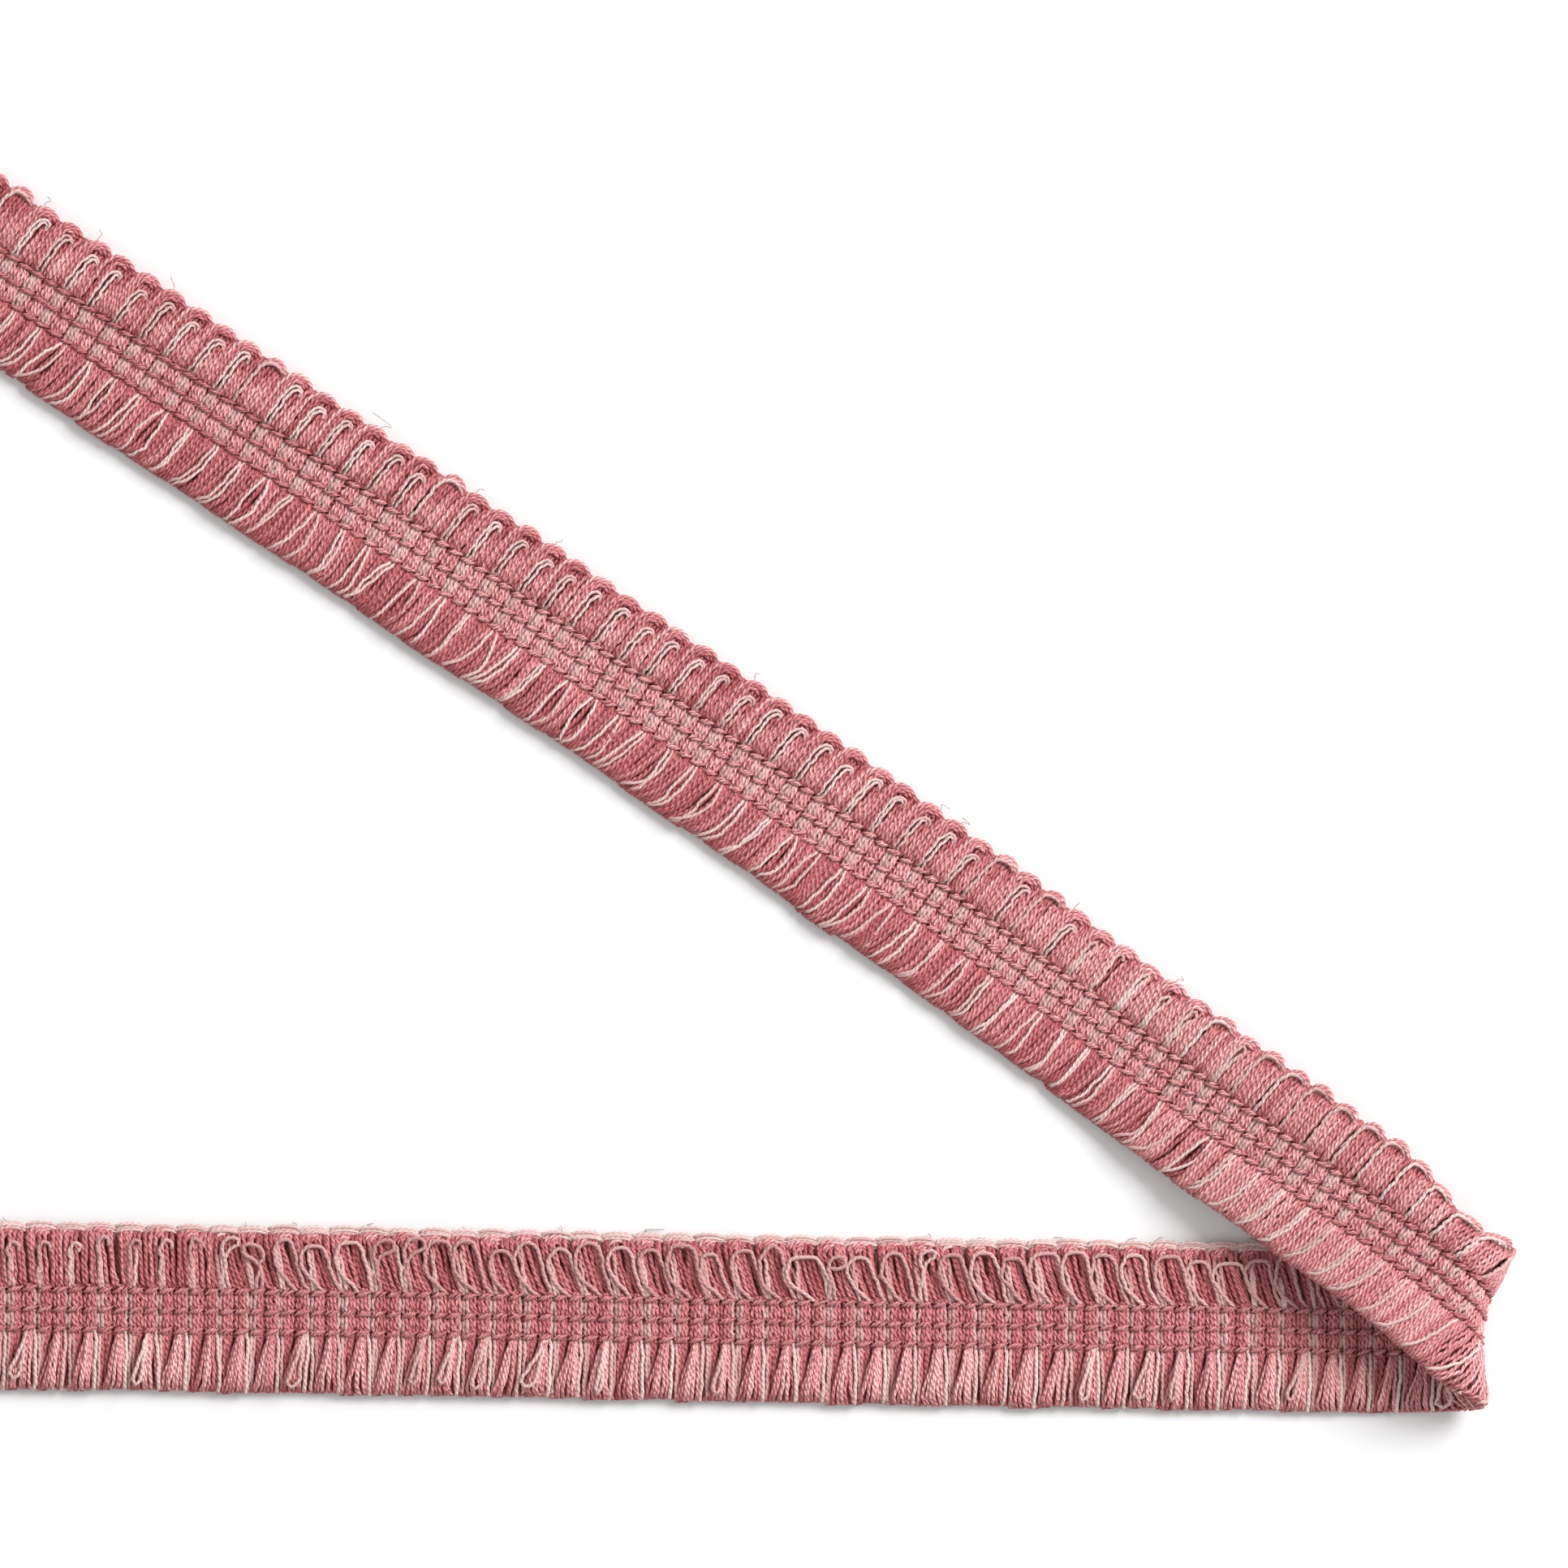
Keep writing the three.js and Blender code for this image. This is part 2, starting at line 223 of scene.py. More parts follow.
ground = mesh_piece("woven_ground", ground_in_place, ground_faces, [ground_finish])
ground_map = ground.data.uv_layers.new(name="weave")
corner_points = np.empty(len(ground.data.loops), int)
ground.data.loops.foreach_get("vertex_index", corner_points)
ground_map.data.foreach_set("uv", ground_points.reshape(-1, 3)[corner_points][:, :2].ravel())
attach(ground, "root")
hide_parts("gimp_heading")

# The weft bundles across the heading
#
# Each loop of the trim uses two bundles of four yarns a side: glossy two-ply viscose in pink and
# thin dull cotton in a pale rose. Between the binding rows a bundle swells into a small pillow, and
# under each row it is drawn in. The side that lies on the surface is pressed flat.

YARN_KINDS = {
    "pink": {"thickness": 0.78, "twist": 2.4, "slot": 0},
    "pale": {"thickness": 0.7, "twist": 2.1, "slot": 1},
}
REST_FLATNESS = {"limit": 0.9, "ease": 1.25}
UNEVENNESS = {"along": 0.09, "height": 0.08, "wave": 3.3, "second_wave": 1.7, "height_wave": 1.3}
NEARLY_UPRIGHT = 0.9

PLIES = 2
# The crown of each ply gets a painted highlight, and in patches painted glints; the fibre flecks are the
# yarn's own uneven tone.
PAINTED_PLY_HIGHLIGHT = {"light": 1.08, "glint_from": 0.6}
FIBRE_FLECKS = {"scale": 2600.0, "dark": 0.88, "light": 1.1}
GLINT_PATCHES = {"scale": 1700.0, "none": 0.45, "full": 0.62, "strength": 1.15}


def yarn_finish(name, dyes, painted_groove_shade, glint, relief, roughness, specular, sheen, sheen_tint):
    """A twisted yarn: its plies rise from grooves in the bump, with painted shade in the grooves, a
    painted highlight on their crowns and painted glints here and there.
    """
    material, shader, add, links = new_material(name)
    place = add("UVMap")
    parts = add("SeparateXYZ", i0=place)
    turned = add("Math", "ADD", i0=parts, i1=parts.outputs[1])
    angle = add("Math", "MULTIPLY", i0=turned, i1=2 * math.pi * PLIES)
    wave = add("Math", "COSINE", i0=angle)
    crown = add("Math", "MULTIPLY_ADD", i0=wave, i1=0.5, i2=0.5)
    # Painted shade in the ply grooves and a painted highlight on the crowns.
    shade = add("MapRange", i0=crown, i3=painted_groove_shade, i4=PAINTED_PLY_HIGHLIGHT["light"])
    tone_and_shade = add("Attribute")
    tone_and_shade.attribute_name = "tone_and_shade"
    ramp = add("ValToRGB", i0=tone_and_shade.outputs["Fac"])
    ramp.color_ramp.elements[0].color = (*dyes[0], 1)
    ramp.color_ramp.elements[1].color = (*dyes[-1], 1)
    for i, dye in enumerate(dyes[1:-1], 1):
        ramp.color_ramp.elements.new(i / (len(dyes) - 1)).color = (*dye, 1)
    spot = add("TexCoord").outputs["Object"]
    fibres = add("TexNoise", Vector=spot, Scale=FIBRE_FLECKS["scale"], Detail=1.0)
    dark, light = FIBRE_FLECKS["dark"], FIBRE_FLECKS["light"]
    fleck = add("MapRange", i0=fibres.outputs["Fac"], i1=0.3, i2=0.7, i3=dark, i4=light)
    shaded = add("Math", "MULTIPLY", i0=shade, i1=fleck)
    dyed = add("VectorMath", "SCALE", i0=ramp, Scale=shaded)
    # Painted glints: a pale colour added on the crowns in patches, less on darker yarns.
    patches = add("TexNoise", Vector=spot, Scale=GLINT_PATCHES["scale"], Detail=1.0)
    none, full, strength = (GLINT_PATCHES[key] for key in ("none", "full", "strength"))
    shining = add("MapRange", i0=patches.outputs["Fac"], i1=none, i2=full, i4=strength)
    top = add("MapRange", i0=crown, i1=PAINTED_PLY_HIGHLIGHT["glint_from"])
    glow = add("Math", "MULTIPLY", i0=shining, i1=top)
    lit = add("Math", "MULTIPLY", i0=glow, i1=tone_and_shade.outputs["Fac"])
    gleam = add("VectorMath", "SCALE", i0=glint, Scale=lit)
    colour = add("VectorMath", "ADD", i0=dyed, i1=gleam)
    links.new(colour.outputs[0], shader.inputs["Base Color"])
    bump = add("Bump", Strength=1.0, Distance=relief, Height=crown)
    links.new(bump.outputs[0], shader.inputs["Normal"])
    shader.inputs["Roughness"].default_value = roughness
    shader.inputs["Specular IOR Level"].default_value = specular
    shader.inputs["Sheen Weight"].default_value = sheen
    shader.inputs["Sheen Roughness"].default_value = 0.4
    shader.inputs["Sheen Tint"].default_value = (*sheen_tint, 1)
    return material


# Each yarn's dyes run from dark to light; the darker ones also serve as painted shade where a yarn dives
# or lies deep.
pink_viscose = yarn_finish(
    "glossy_pink_viscose",
    dyes=[
        (0.40, 0.085, 0.096),
        (0.50, 0.135, 0.147),
        (0.61, 0.20, 0.212),
        (0.72, 0.295, 0.302),
        (0.82, 0.40, 0.40),
    ],
    painted_groove_shade=0.72,
    glint=(0.36, 0.28, 0.265),
    relief=0.0002,
    roughness=0.42,
    specular=0.4,
    sheen=0.05,
    sheen_tint=(1.0, 0.72, 0.72),
)
pale_cotton = yarn_finish(
    "dull_pale_rose_cotton",
    dyes=[(0.46, 0.19, 0.192), (0.63, 0.375, 0.36), (0.77, 0.565, 0.54)],
    painted_groove_shade=0.88,
    glint=(0.04, 0.04, 0.04),
    relief=0.00012,
    roughness=0.85,
    specular=0.2,
    sheen=0.25,
    sheen_tint=(1.0, 0.9, 0.87),
)
YARN_FINISHES = [pink_viscose, pale_cotton]


def smooth_line(points, steps):
    """Evenly spaced points on a smooth curve through a few, whose fourth value is carried along."""
    points = np.asarray(points, float)
    gaps = np.linalg.norm(np.diff(points[:, :3], axis=0), axis=1)
    knots = np.concatenate([[0], np.cumsum(gaps)])
    slopes = np.gradient(points, knots, axis=0)
    at = np.linspace(0, knots[-1], steps + 1)
    i = np.clip(np.searchsorted(knots, at, side="right") - 1, 0, len(knots) - 2)
    span = (knots[i + 1] - knots[i])[:, None]
    t = (at - knots[i])[:, None] / span
    start = (2 * t**3 - 3 * t**2 + 1) * points[i] + (t**3 - 2 * t**2 + t) * span * slopes[i]
    end = (3 * t**2 - 2 * t**3) * points[i + 1] + (t**3 - t**2) * span * slopes[i + 1]
    return start + end


def fullness(u, v, side):
    """1 where that side of the trim shows on top and stands up, 0 where it lies on the surface."""
    run, _ = opened_out(u, v)
    face = soft_step(run, -0.7 * QUARTER_TURN, 0.3 * QUARTER_TURN)
    back = 1 - soft_step(run, -0.3 * QUARTER_TURN, 0.7 * QUARTER_TURN)
    return np.where(side > 0, face, back)


class Skein:
    """Yarns laid out on the opened-out trim, each as points (u, v, height on one side)."""

    def __init__(self):
        self.yarns = {}

    def lay(self, points, side, kind, tone_and_shade, steps, corners=5, thickness=None):
        """One yarn through the points. Its tone, whose low values are painted shade where a yarn dives or
        lies deep, is one number or one for each point.
        """
        radius = (thickness or YARN_KINDS[kind]["thickness"]) / 2
        tones_and_shades = np.broadcast_to(np.clip(tone_and_shade, 0, 1), len(points))
        line = smooth_line(np.column_stack([points, tones_and_shades]), steps)
        self.yarns.setdefault((steps, corners), []).append((line, side, radius, kind))

    def tubes(self, steps, corners):
        """Round tubes along all yarns of one fineness: points, twist coordinates, tone with painted shade,
        and kind.
        """
        lines, sides, radii, kinds = zip(*self.yarns[steps, corners])
        tinted = np.array(lines)
        lines, tones_and_shades = tinted[..., :3], tinted[..., 3]
        sides, radii = np.array(sides, float)[:, None], np.array(radii)[:, None]
        twists = np.array([YARN_KINDS[kind]["twist"] for kind in kinds])[:, None]
        chance = np.random.default_rng([len(kinds), steps])
        phases = chance.uniform(0, 2 * math.pi, (3, len(kinds), 1))
        wave = lines[..., 1] * 2 * math.pi / UNEVENNESS["wave"]
        second_wave, height_wave = UNEVENNESS["second_wave"] * wave, UNEVENNESS["height_wave"] * wave
        lines[..., 0] += UNEVENNESS["along"] * (np.sin(wave + phases[0]) + np.sin(second_wave + phases[1]))
        lines[..., 2] += UNEVENNESS["height"] * np.sin(height_wave + phases[2])
        standing = lines[..., 2]
        lying = REST_FLATNESS["limit"] * np.tanh(standing / REST_FLATNESS["ease"])
        full = fullness(lines[..., 0], lines[..., 1], sides)
        lines[..., 2] = sides * mix(lying, standing, full)
        centres = rolled_over(lines)
        along = np.gradient(centres, axis=1)
        along /= np.linalg.norm(along, axis=-1, keepdims=True)
        out = np.zeros_like(centres)
        lies = np.abs(along[:, 0, 2:]) < NEARLY_UPRIGHT
        start = np.where(lies, [[0.0, 0.0, 1.0]], [[1.0, 0.0, 0.0]])
        for i in range(centres.shape[1]):
            start = start - (start * along[:, i]).sum(-1, keepdims=True) * along[:, i]
            start = start / np.linalg.norm(start, axis=-1, keepdims=True)
            out[:, i] = start
        across = np.cross(along, out)
        angles = np.arange(corners) * 2 * math.pi / corners
        ring = np.cos(angles)[:, None] * out[:, :, None] + np.sin(angles)[:, None] * across[:, :, None]
        points = centres[:, :, None] + ring * (radii * MM)[:, :, None, None]
        gone = np.linalg.norm(np.diff(centres, axis=1), axis=-1).cumsum(axis=1) / MM
        turns = np.concatenate([np.zeros((len(kinds), 1)), gone], axis=1) / twists
        turns += phases[0] / (2 * math.pi)
        return points, turns, tones_and_shades, kinds

    def piece(self, name, slot, nodes=()):
        """All the yarns as one mesh object that rides with the trim."""
        points, faces, twist_map, tones_and_shades, slots = [], [], [], [], []
        first = 0
        for steps, corners in sorted(self.yarns):
            tube_points, turns, tube_tones_and_shades, kinds = self.tubes(steps, corners)
            count = len(tube_points)
            points.append(tube_points.reshape(-1, 3))
            grid = first + np.arange(count * (steps + 1) * corners).reshape(count, steps + 1, corners)
            after = np.roll(grid, -1, axis=2)
            quads = np.stack([grid[:, :-1], after[:, :-1], after[:, 1:], grid[:, 1:]], axis=-1)
            start_turns = np.arange(corners) / corners
            end_turns = (np.arange(corners) + 1) / corners
            around = np.stack([start_turns, end_turns, end_turns, start_turns], axis=-1)
            around = np.broadcast_to(around, quads.shape)
            along = np.stack([turns[:, :-1], turns[:, :-1], turns[:, 1:], turns[:, 1:]], axis=-1)
            along = np.broadcast_to(along[:, :, None], quads.shape)
            faces.append(quads.reshape(-1, 4))
            twist_map.append(np.stack([around, along], axis=-1).reshape(-1, 2))
            yarn_slots = np.array([YARN_KINDS[kind]["slot"] for kind in kinds])
            slots.append(np.repeat(yarn_slots, steps * corners))
            for end in (grid[:, 0, ::-1], grid[:, -1]):
                faces.append(end.reshape(-1, corners))
                twist_map.append(np.zeros((count * corners, 2)))
                slots.append(yarn_slots)
            tones_and_shades.append(np.repeat(tube_tones_and_shades.ravel(), corners))
            first += grid.size
        made = mesh_piece(name, np.concatenate(points), faces, YARN_FINISHES)
        made.data.polygons.foreach_set("material_index", np.concatenate(slots).astype(np.int32))
        uvs = made.data.uv_layers.new(name="twist").data
        uvs.foreach_set("uv", np.concatenate(twist_map).astype(np.float32).ravel())
        # Each yarn's own tone, with painted shade where it dives or lies deep.
        tone_and_shade = made.data.attributes.new("tone_and_shade", "FLOAT", "POINT")
        tone_and_shade.data.foreach_set("value", np.concatenate(tones_and_shades).astype(np.float32))
        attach(made, "root")
        if nodes:
            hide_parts(*nodes)
        return made


FACE, BACK = 1, -1
END_MARGIN = 1.0  # at the cut end, where no bundle starts
WEFT_SEED = 11
YARN_SPACING = 0.6
BUNDLE_YARN = {"thickness": 0.76, "steps": 14, "darkest": 0.55, "lightest": 0.9}
BUNDLE_ROUNDING = 0.24  # how much lower a bundle's outer yarns lie
BUNDLE_NOISE = {"shift": 0.08, "wander": 0.05}
# Painted shade on the back's bundles; pale yarns on the face are darker too.
BUNDLE_SHADE = {"back": 0.35, "pale_on_face": 0.25}
STUFFER_ROWS = (-2.3, -1.2, 1.2, 2.3)  # straight warp yarns inside, seen between the bundles
STUFFER = {"half_length": 1.5, "height": 0.6, "tone_and_shade": 0.25, "thickness": 1.0}

# A bundle from the middle row outwards: the place, and its height and width there.
HALF_CROSSING = [
    (0.0, 0.78, 0.92), (0.8, 1.12, 1.04), (1.75, 1.3, 1.06), (2.7, 1.12, 1.04), (3.5, 0.78, 0.92),
    (4.5, 0.98, 1.0),
]
BUNDLE_CROSSING = [(-v, height, width) for v, height, width in HALF_CROSSING[:0:-1]] + HALF_CROSSING


def draws(*seed):
    """Random draws with a fixed seed, and a function for noise of a given spread."""
    chance = np.random.default_rng(seed)
    return chance, lambda spread: chance.normal(0, spread)


def bundle_places(loop):
    """The middles of a loop's two bundles along the trim."""
    return (loop + 0.5) * PITCH, (loop + 1) * PITCH


def bundle_sides(loop, seed):
    """Each side of a loop's two bundles, with draws of its own."""
    for bundle, middle in enumerate(bundle_places(loop)):
        if middle < TRIM_LENGTH - END_MARGIN:
            for side in (FACE, BACK):
                yield (bundle, middle, side, *draws(loop, bundle, side + 1, seed))


def bundle_colours(chance, side, bundle):
    """The kinds of a bundle's four yarns, in order along the trim."""
    pink_or_pale = "pale" if chance.random() < 0.5 else "pink"
    if side == BACK:
        return ["pale", pink_or_pale, "pink", "pink"] if bundle == 0 else ["pink", "pink", "pink", "pale"]
    if bundle == 0:
        return ["pink", "pale", "pale", "pale"]
    return ["pink", pink_or_pale if chance.random() < 0.4 else "pink", "pink", "pink"]


fold_place = np.interp(0.0, MIDDLE_ROW[:, 0], MIDDLE_LENGTHS)
LEG_LOOPS = {"lower_leg": [], "upper_leg": []}
for loop in range(LOOP_COUNT):
    LEG_LOOPS["lower_leg" if (loop + 0.5) * PITCH < fold_place else "upper_leg"].append(loop)
LEG_NODES = {
    "lower_leg": ("lower_leg", "fold_under", "fold_turn"),
    "upper_leg": ("fold_over", "descent", "upper_leg"),
}


def lay_leg(leg, name, lay_loop, slot, node=None):
    """A piece from the yarns of one leg, laid loop by loop."""
    skein = Skein()
    for loop in LEG_LOOPS[leg]:
        lay_loop(skein, loop)
    nodes = [f"{node}_{part}" for part in LEG_NODES[leg]] if node else []
    skein.piece(f"{name}_{leg}", slot, nodes)


def weft_bundles(skein, loop):
    for bundle, middle, side, chance, noise in bundle_sides(loop, WEFT_SEED):
        colours = bundle_colours(chance, side, bundle)
        shift = noise(BUNDLE_NOISE["shift"])
        outermost = (len(colours) - 1) / 2
        for i, kind in enumerate(colours):
            place = (i - outermost) * YARN_SPACING
            drop = BUNDLE_ROUNDING * (abs(i - outermost) / outermost) ** 2
            wander = chance.normal(0, BUNDLE_NOISE["wander"], len(BUNDLE_CROSSING))
            points = [
                (middle + shift + place * width + off, v, height - drop)
                for (v, height, width), off in zip(BUNDLE_CROSSING, wander)
            ]
            tone_and_shade = chance.uniform(BUNDLE_YARN["darkest"], BUNDLE_YARN["lightest"])
            # Painted shade on the back.
            if side == BACK:
                tone_and_shade -= BUNDLE_SHADE["back"]
            elif kind == "pale":
                tone_and_shade -= BUNDLE_SHADE["pale_on_face"]
            skein.lay(points, side, kind, tone_and_shade, BUNDLE_YARN["steps"], 5, BUNDLE_YARN["thickness"])
        for v in STUFFER_ROWS:
            ends = (middle - STUFFER["half_length"], middle, middle + STUFFER["half_length"])
            points = [(u, v, STUFFER["height"]) for u in ends]
            skein.lay(points, side, "pink", STUFFER["tone_and_shade"], 2, 4, STUFFER["thickness"])


for leg in LEG_LOOPS:
    lay_leg(leg, "heading_weft", weft_bundles, "heading")

# The binding rows
#
# Three rows of fine glossy warp run the whole length and bind the weft. Over each bundle a row
# shows as three short strokes that slant one way and dive at both ends, so that it looks like a
# rope pressed onto the heading. Each side has its own slant.

ROW_SEED = 23
ROW_STROKE = {"half": 0.86, "spacing": 0.52, "thickness": 0.5, "crest": 1.84, "foot": 0.98}
ROW_SLOPE = {FACE: -0.62, BACK: 0.62}
ROW_NOISE = {"along": 0.05, "across": 0.06}
# Painted shade on the rows: the outer strokes lie lower and darker, the feet are dark where they dive, the
# back is darker, and so are the rows on the fold's bend. Along the far stretch past the fold they are
# darker as well.
OUTER_STROKE = {"drop": 0.16, "shade": 0.12}
ROW_SHADE = {"bend_and_far_stretch": 0.4, "back": 0.2, "foot_painted_shade": 0.1}
FAR_STRETCH = {"start": 235.0, "end": 275.0}  # past the fold, where the rows lie tighter and darker
FAR_STROKE = {"foot": 1.45, "slope": 0.6}
ON_THE_BEND = 12  # past the fold's turn, where the rows on the bend get painted shade
LEAVING_BEND = {"start": 12, "end": 34}  # away from there


def stretch_share(past_fold, stretch):
    """0 before a stretch, 1 after it."""
    return float(soft_step(past_fold, stretch["start"], stretch["end"]))


def row_strokes(skein, loop):
    half = ROW_STROKE["half"]
    for _, middle, side, chance, noise in bundle_sides(loop, ROW_SEED):
        far_on = stretch_share(middle - fold_place, FAR_STRETCH)
        on_bend = 1 - stretch_share(abs(middle - fold_place - ON_THE_BEND), LEAVING_BEND)
        foot = mix(ROW_STROKE["foot"], FAR_STROKE["foot"], far_on)
        flatter = mix(1, FAR_STROKE["slope"], far_on)
        # Painted shade on the bend and on the back, and darker rows along the far stretch.
        shade = ROW_SHADE["bend_and_far_stretch"] * max(far_on, on_bend) + (ROW_SHADE["back"] if side == BACK else 0)
        for row, stroke in itertools.product((-1, 0, 1), (-1, 0, 1)):
            u = middle + stroke * ROW_STROKE["spacing"] + noise(ROW_NOISE["along"])
            v = row * ROW_PITCH + noise(ROW_NOISE["across"])
            rise = half * ROW_SLOPE[side] * chance.uniform(0.8, 1.15) * flatter
            crest = ROW_STROKE["crest"] - OUTER_STROKE["drop"] * abs(stroke)
            points = [
                (u - half, v - rise, foot),
                (u - 0.35 * half, v - 0.45 * rise, crest),
                (u + 0.35 * half, v + 0.45 * rise, crest),
                (u + half, v + rise, foot),
            ]
            bright = chance.uniform(0.8, 1.0) - OUTER_STROKE["shade"] * abs(stroke) - shade
            tone_and_shade = (ROW_SHADE["foot_painted_shade"], bright, bright, ROW_SHADE["foot_painted_shade"])
            skein.lay(points, side, "pink", tone_and_shade, 3, 4, ROW_STROKE["thickness"])


for leg in LEG_LOOPS:
    lay_leg(leg, "binding_rows", row_strokes, "heading")

# The arch loops
#
# Along one edge the bundles turn back free. On the face each loop is a rounded lobe of pink yarns
# that arch over the tip, round a pale hairpin: a closed one, or two yarns that hook over together.
# On the back it is a window outlined by one pale yarn, with slanting pink yarns deep inside.

LOBE_SEED, WINDOW_SEED = 31, 37
ROOT = ROW_PITCH + 0.2  # where a loop's yarns come out from under the outer row
ROOT_HEIGHT = 0.95
ARCH_TIP = 14.6
ARCH_ARCS = [{"reach": 2.45, "rise": 2.1}, {"reach": 1.8, "rise": 1.55}, {"reach": 1.15, "rise": 1.0}]
PLAIN_ARCS = [{"reach": 1.95, "rise": 1.65}]
ARCH_LEAN = {"lower": -0.9, "upper": -1.2}
# An arc from its side to where it dives: the angle, how far it has dropped there on the upper leg,
# and its height on the lower leg, where it rolls on to the back.
ARC_STOPS = [
    (0, 0.0, 0.9), (30, 0.0, 0.2), (60, 0.05, -0.6), (90, 0.15, -1.35), (120, 0.35, -1.85),
    (150, 0.8, -1.95), (175, 1.7, -1.6),
]
# Painted shade along an arc, one value for each of its points: darker where it comes out under the row and
# where it dives, a little lighter over the top.
ARC_PAINTED_SHADE = np.array([-0.25, -0.05, 0, 0.05, 0.05, 0.05, 0.05, -0.1, -0.35])
DIVE_PAINTED_SHADE = 0.1

# Stretches past the fold: of plain wide lobes, and where hooks and painted shade under the outer arcs set
# in by and by.
PLAIN_STRETCH = {"start": -20.0, "end": 62.0}
HOOKED_STRETCH = {"start": 70.0, "end": 150.0}
DARKER_STRETCH = {"start": 80.0, "end": 160.0}
LOBE_SHARES = {"plain": 0.08, "one_sided": 0.15, "stray_fibre": 0.25}
LOBE_YARNS = {"hooked": 0.56, "stray_fibre": 0.14, "fuzz": 0.66}
LOBE_HALF_WIDTH = 2.7
# Yarns deep inside a lobe: place, depth below the crown and end. The last is in the notch beside it.
LOBE_DEPTHS = [
    (-1.9, 0.65, 12.9), (-1.3, 0.75, 13.2), (-0.6, 0.7, 13.5), (0.1, 0.42, 13.6), (0.8, 0.42, 13.4),
    (1.6, 0.55, 13.1), (2.85, 0.6, 13.2),
]
# The closing yarns are dark with painted shade.
CLOSING_YARNS = {"places": (-1.8, 0, 1.8), "tone_and_shade": 0.2, "thickness": 1.25}  # thick, under the rest


def leg_share(u):
    """0 on the lower leg, 1 on the upper leg."""
    run, _ = opened_out(u, 0.0)
    return float(soft_step(run, -QUARTER_TURN, QUARTER_TURN))


def leaning(middle, lean, bend=1.2):
    """A function that pushes a loop's points along the trim, the further out they are."""

    def lean_over(points):
        moved = []
        for along, v, height in points:
            out = max((abs(v) - ROW_PITCH) / LOOP_REACH, 0)
            moved.append((middle + along + lean * out**bend, v, height))
        return moved

    return lean_over


def arch_face_lobe(skein, loop):
    chance, noise = draws(loop, LOBE_SEED)
    middle = bundle_places(loop)[0]
    upper = leg_share(middle)
    lean = leaning(middle, mix(ARCH_LEAN["lower"], ARCH_LEAN["upper"], upper) + noise(0.2))
    tip = ARCH_TIP + noise(0.15)
    crown = mix(2.1, 2.3, upper) + noise(0.1)
    past_fold = middle - fold_place
    far = stretch_share(past_fold, DARKER_STRETCH)
    hooked = chance.random() < stretch_share(past_fold, HOOKED_STRETCH)
    plain = PLAIN_STRETCH["start"] < past_fold < PLAIN_STRETCH["end"] + noise(8)
    plain = plain or chance.random() < LOBE_SHARES["plain"]
    steps = 14 if upper > 0.2 else 10
    centre = tip - ARCH_ARCS[0]["rise"] - 0.4
    # The yarns that arch over the tip, the outermost first.
    for i, arc in enumerate(PLAIN_ARCS if plain else ARCH_ARCS):
        kind = "pale" if plain and i == 0 else "pink"
        reach = arc["reach"] + noise(0.06)
        lift = 0.22 if kind == "pale" else 0.06 * i
        points = [
            (reach + 0.05, ROOT, ROOT_HEIGHT),
            (reach, 5.2, crown - 0.4 + lift),
            (reach, 8.0, crown - 0.05 + lift),
        ]
        for stop, drop, wrap in ARC_STOPS:
            angle = math.radians(stop)
            height = mix(wrap, crown - drop, upper) + lift
            points.append((reach * math.cos(angle), centre + arc["rise"] * math.sin(angle), height))
        # Further on, the inner arcs get painted shade.
        bright = chance.uniform(0.45, 0.95) - (0.4 * far if i else 0)
        skein.lay(lean(points), FACE, kind, [*(bright + ARC_PAINTED_SHADE), DIVE_PAINTED_SHADE], steps + 9)
    if plain:
        inner = [1.3, 0.75, 0.15, -0.5, -1.15, -1.8, -2.45]
        # Pink caps beyond the pale outline, which come up from below and go over the tip.
        for cap in (2.55, 2.05):
            points = [
                (2.35, centre - 0.8, crown - 0.9),
                (2.1, centre + 0.4 * cap, crown - 0.4),
                (1.2, centre + 0.85 * cap, crown - 0.1),
                (0, centre + cap, crown - 0.05),
                (-1.2, centre + 0.85 * cap, crown - 0.15),
                (-2.1, centre + 0.4 * cap, crown - 0.5),
                (-2.4, centre - 0.6, crown - 1.5),
            ]
            # Painted shade where a cap comes up and goes down.
            tone_and_shade = np.array([-0.5, -0.1, 0, 0, 0, -0.1, -0.4]) + chance.uniform(0.6, 0.95)
            if upper > 0.5:
                skein.lay(lean(points), FACE, "pink", tone_and_shade, 12)
    else:
        inner = [-0.75, -1.4, -2.0, -2.6]
        # The pale hairpin in the lobe's middle, a closed one first.
        mid = chance.normal(0.3, 0.1)
        leg = chance.uniform(0.25, 0.33)
        bulb = chance.uniform(0.4, 0.7)
        top = chance.uniform(11.6, 12.8) - (0.3 if hooked else 0)
        hook = chance.uniform(0.1, 0.7)  # how far the hairpin's head bends over
        hairpin = [
            (mid + leg, ROOT, 1.0),
            (mid + leg, 5.2, crown - 0.2),
            (mid + leg, 8.0, crown + 0.2),
            (mid + mix(leg, bulb, 0.8), top - 1.9, crown + 0.28),
            (mid + bulb - 0.4 * hook, top - 0.7, crown + 0.2),
            (mid - 0.7 * hook, top, crown),
            (mid - bulb - 0.7 * hook, top - 0.9, crown + 0.05),
            (mid - mix(leg, bulb, 0.7) - 0.2 * hook, top - 2.1, crown + 0.15),
            (mid - leg, 8.0, crown + 0.15),
            (mid - leg, 5.2, crown - 0.25),
            (mid - leg, ROOT, 1.0),
        ]
        # Painted shade at the hairpin's feet and around its head.
        bright = chance.uniform(0.6, 1.0)
        tone_and_shade = np.array([-0.3, 0, 0, 0, -0.1, -0.3, -0.3, -0.1, 0, 0, -0.3]) + bright
        if chance.random() < LOBE_SHARES["one_sided"]:
            hairpin, tone_and_shade = hairpin[:7], tone_and_shade[:7]
        if not hooked:
            skein.lay(lean(hairpin), FACE, "pale", tone_and_shade, steps * 2)
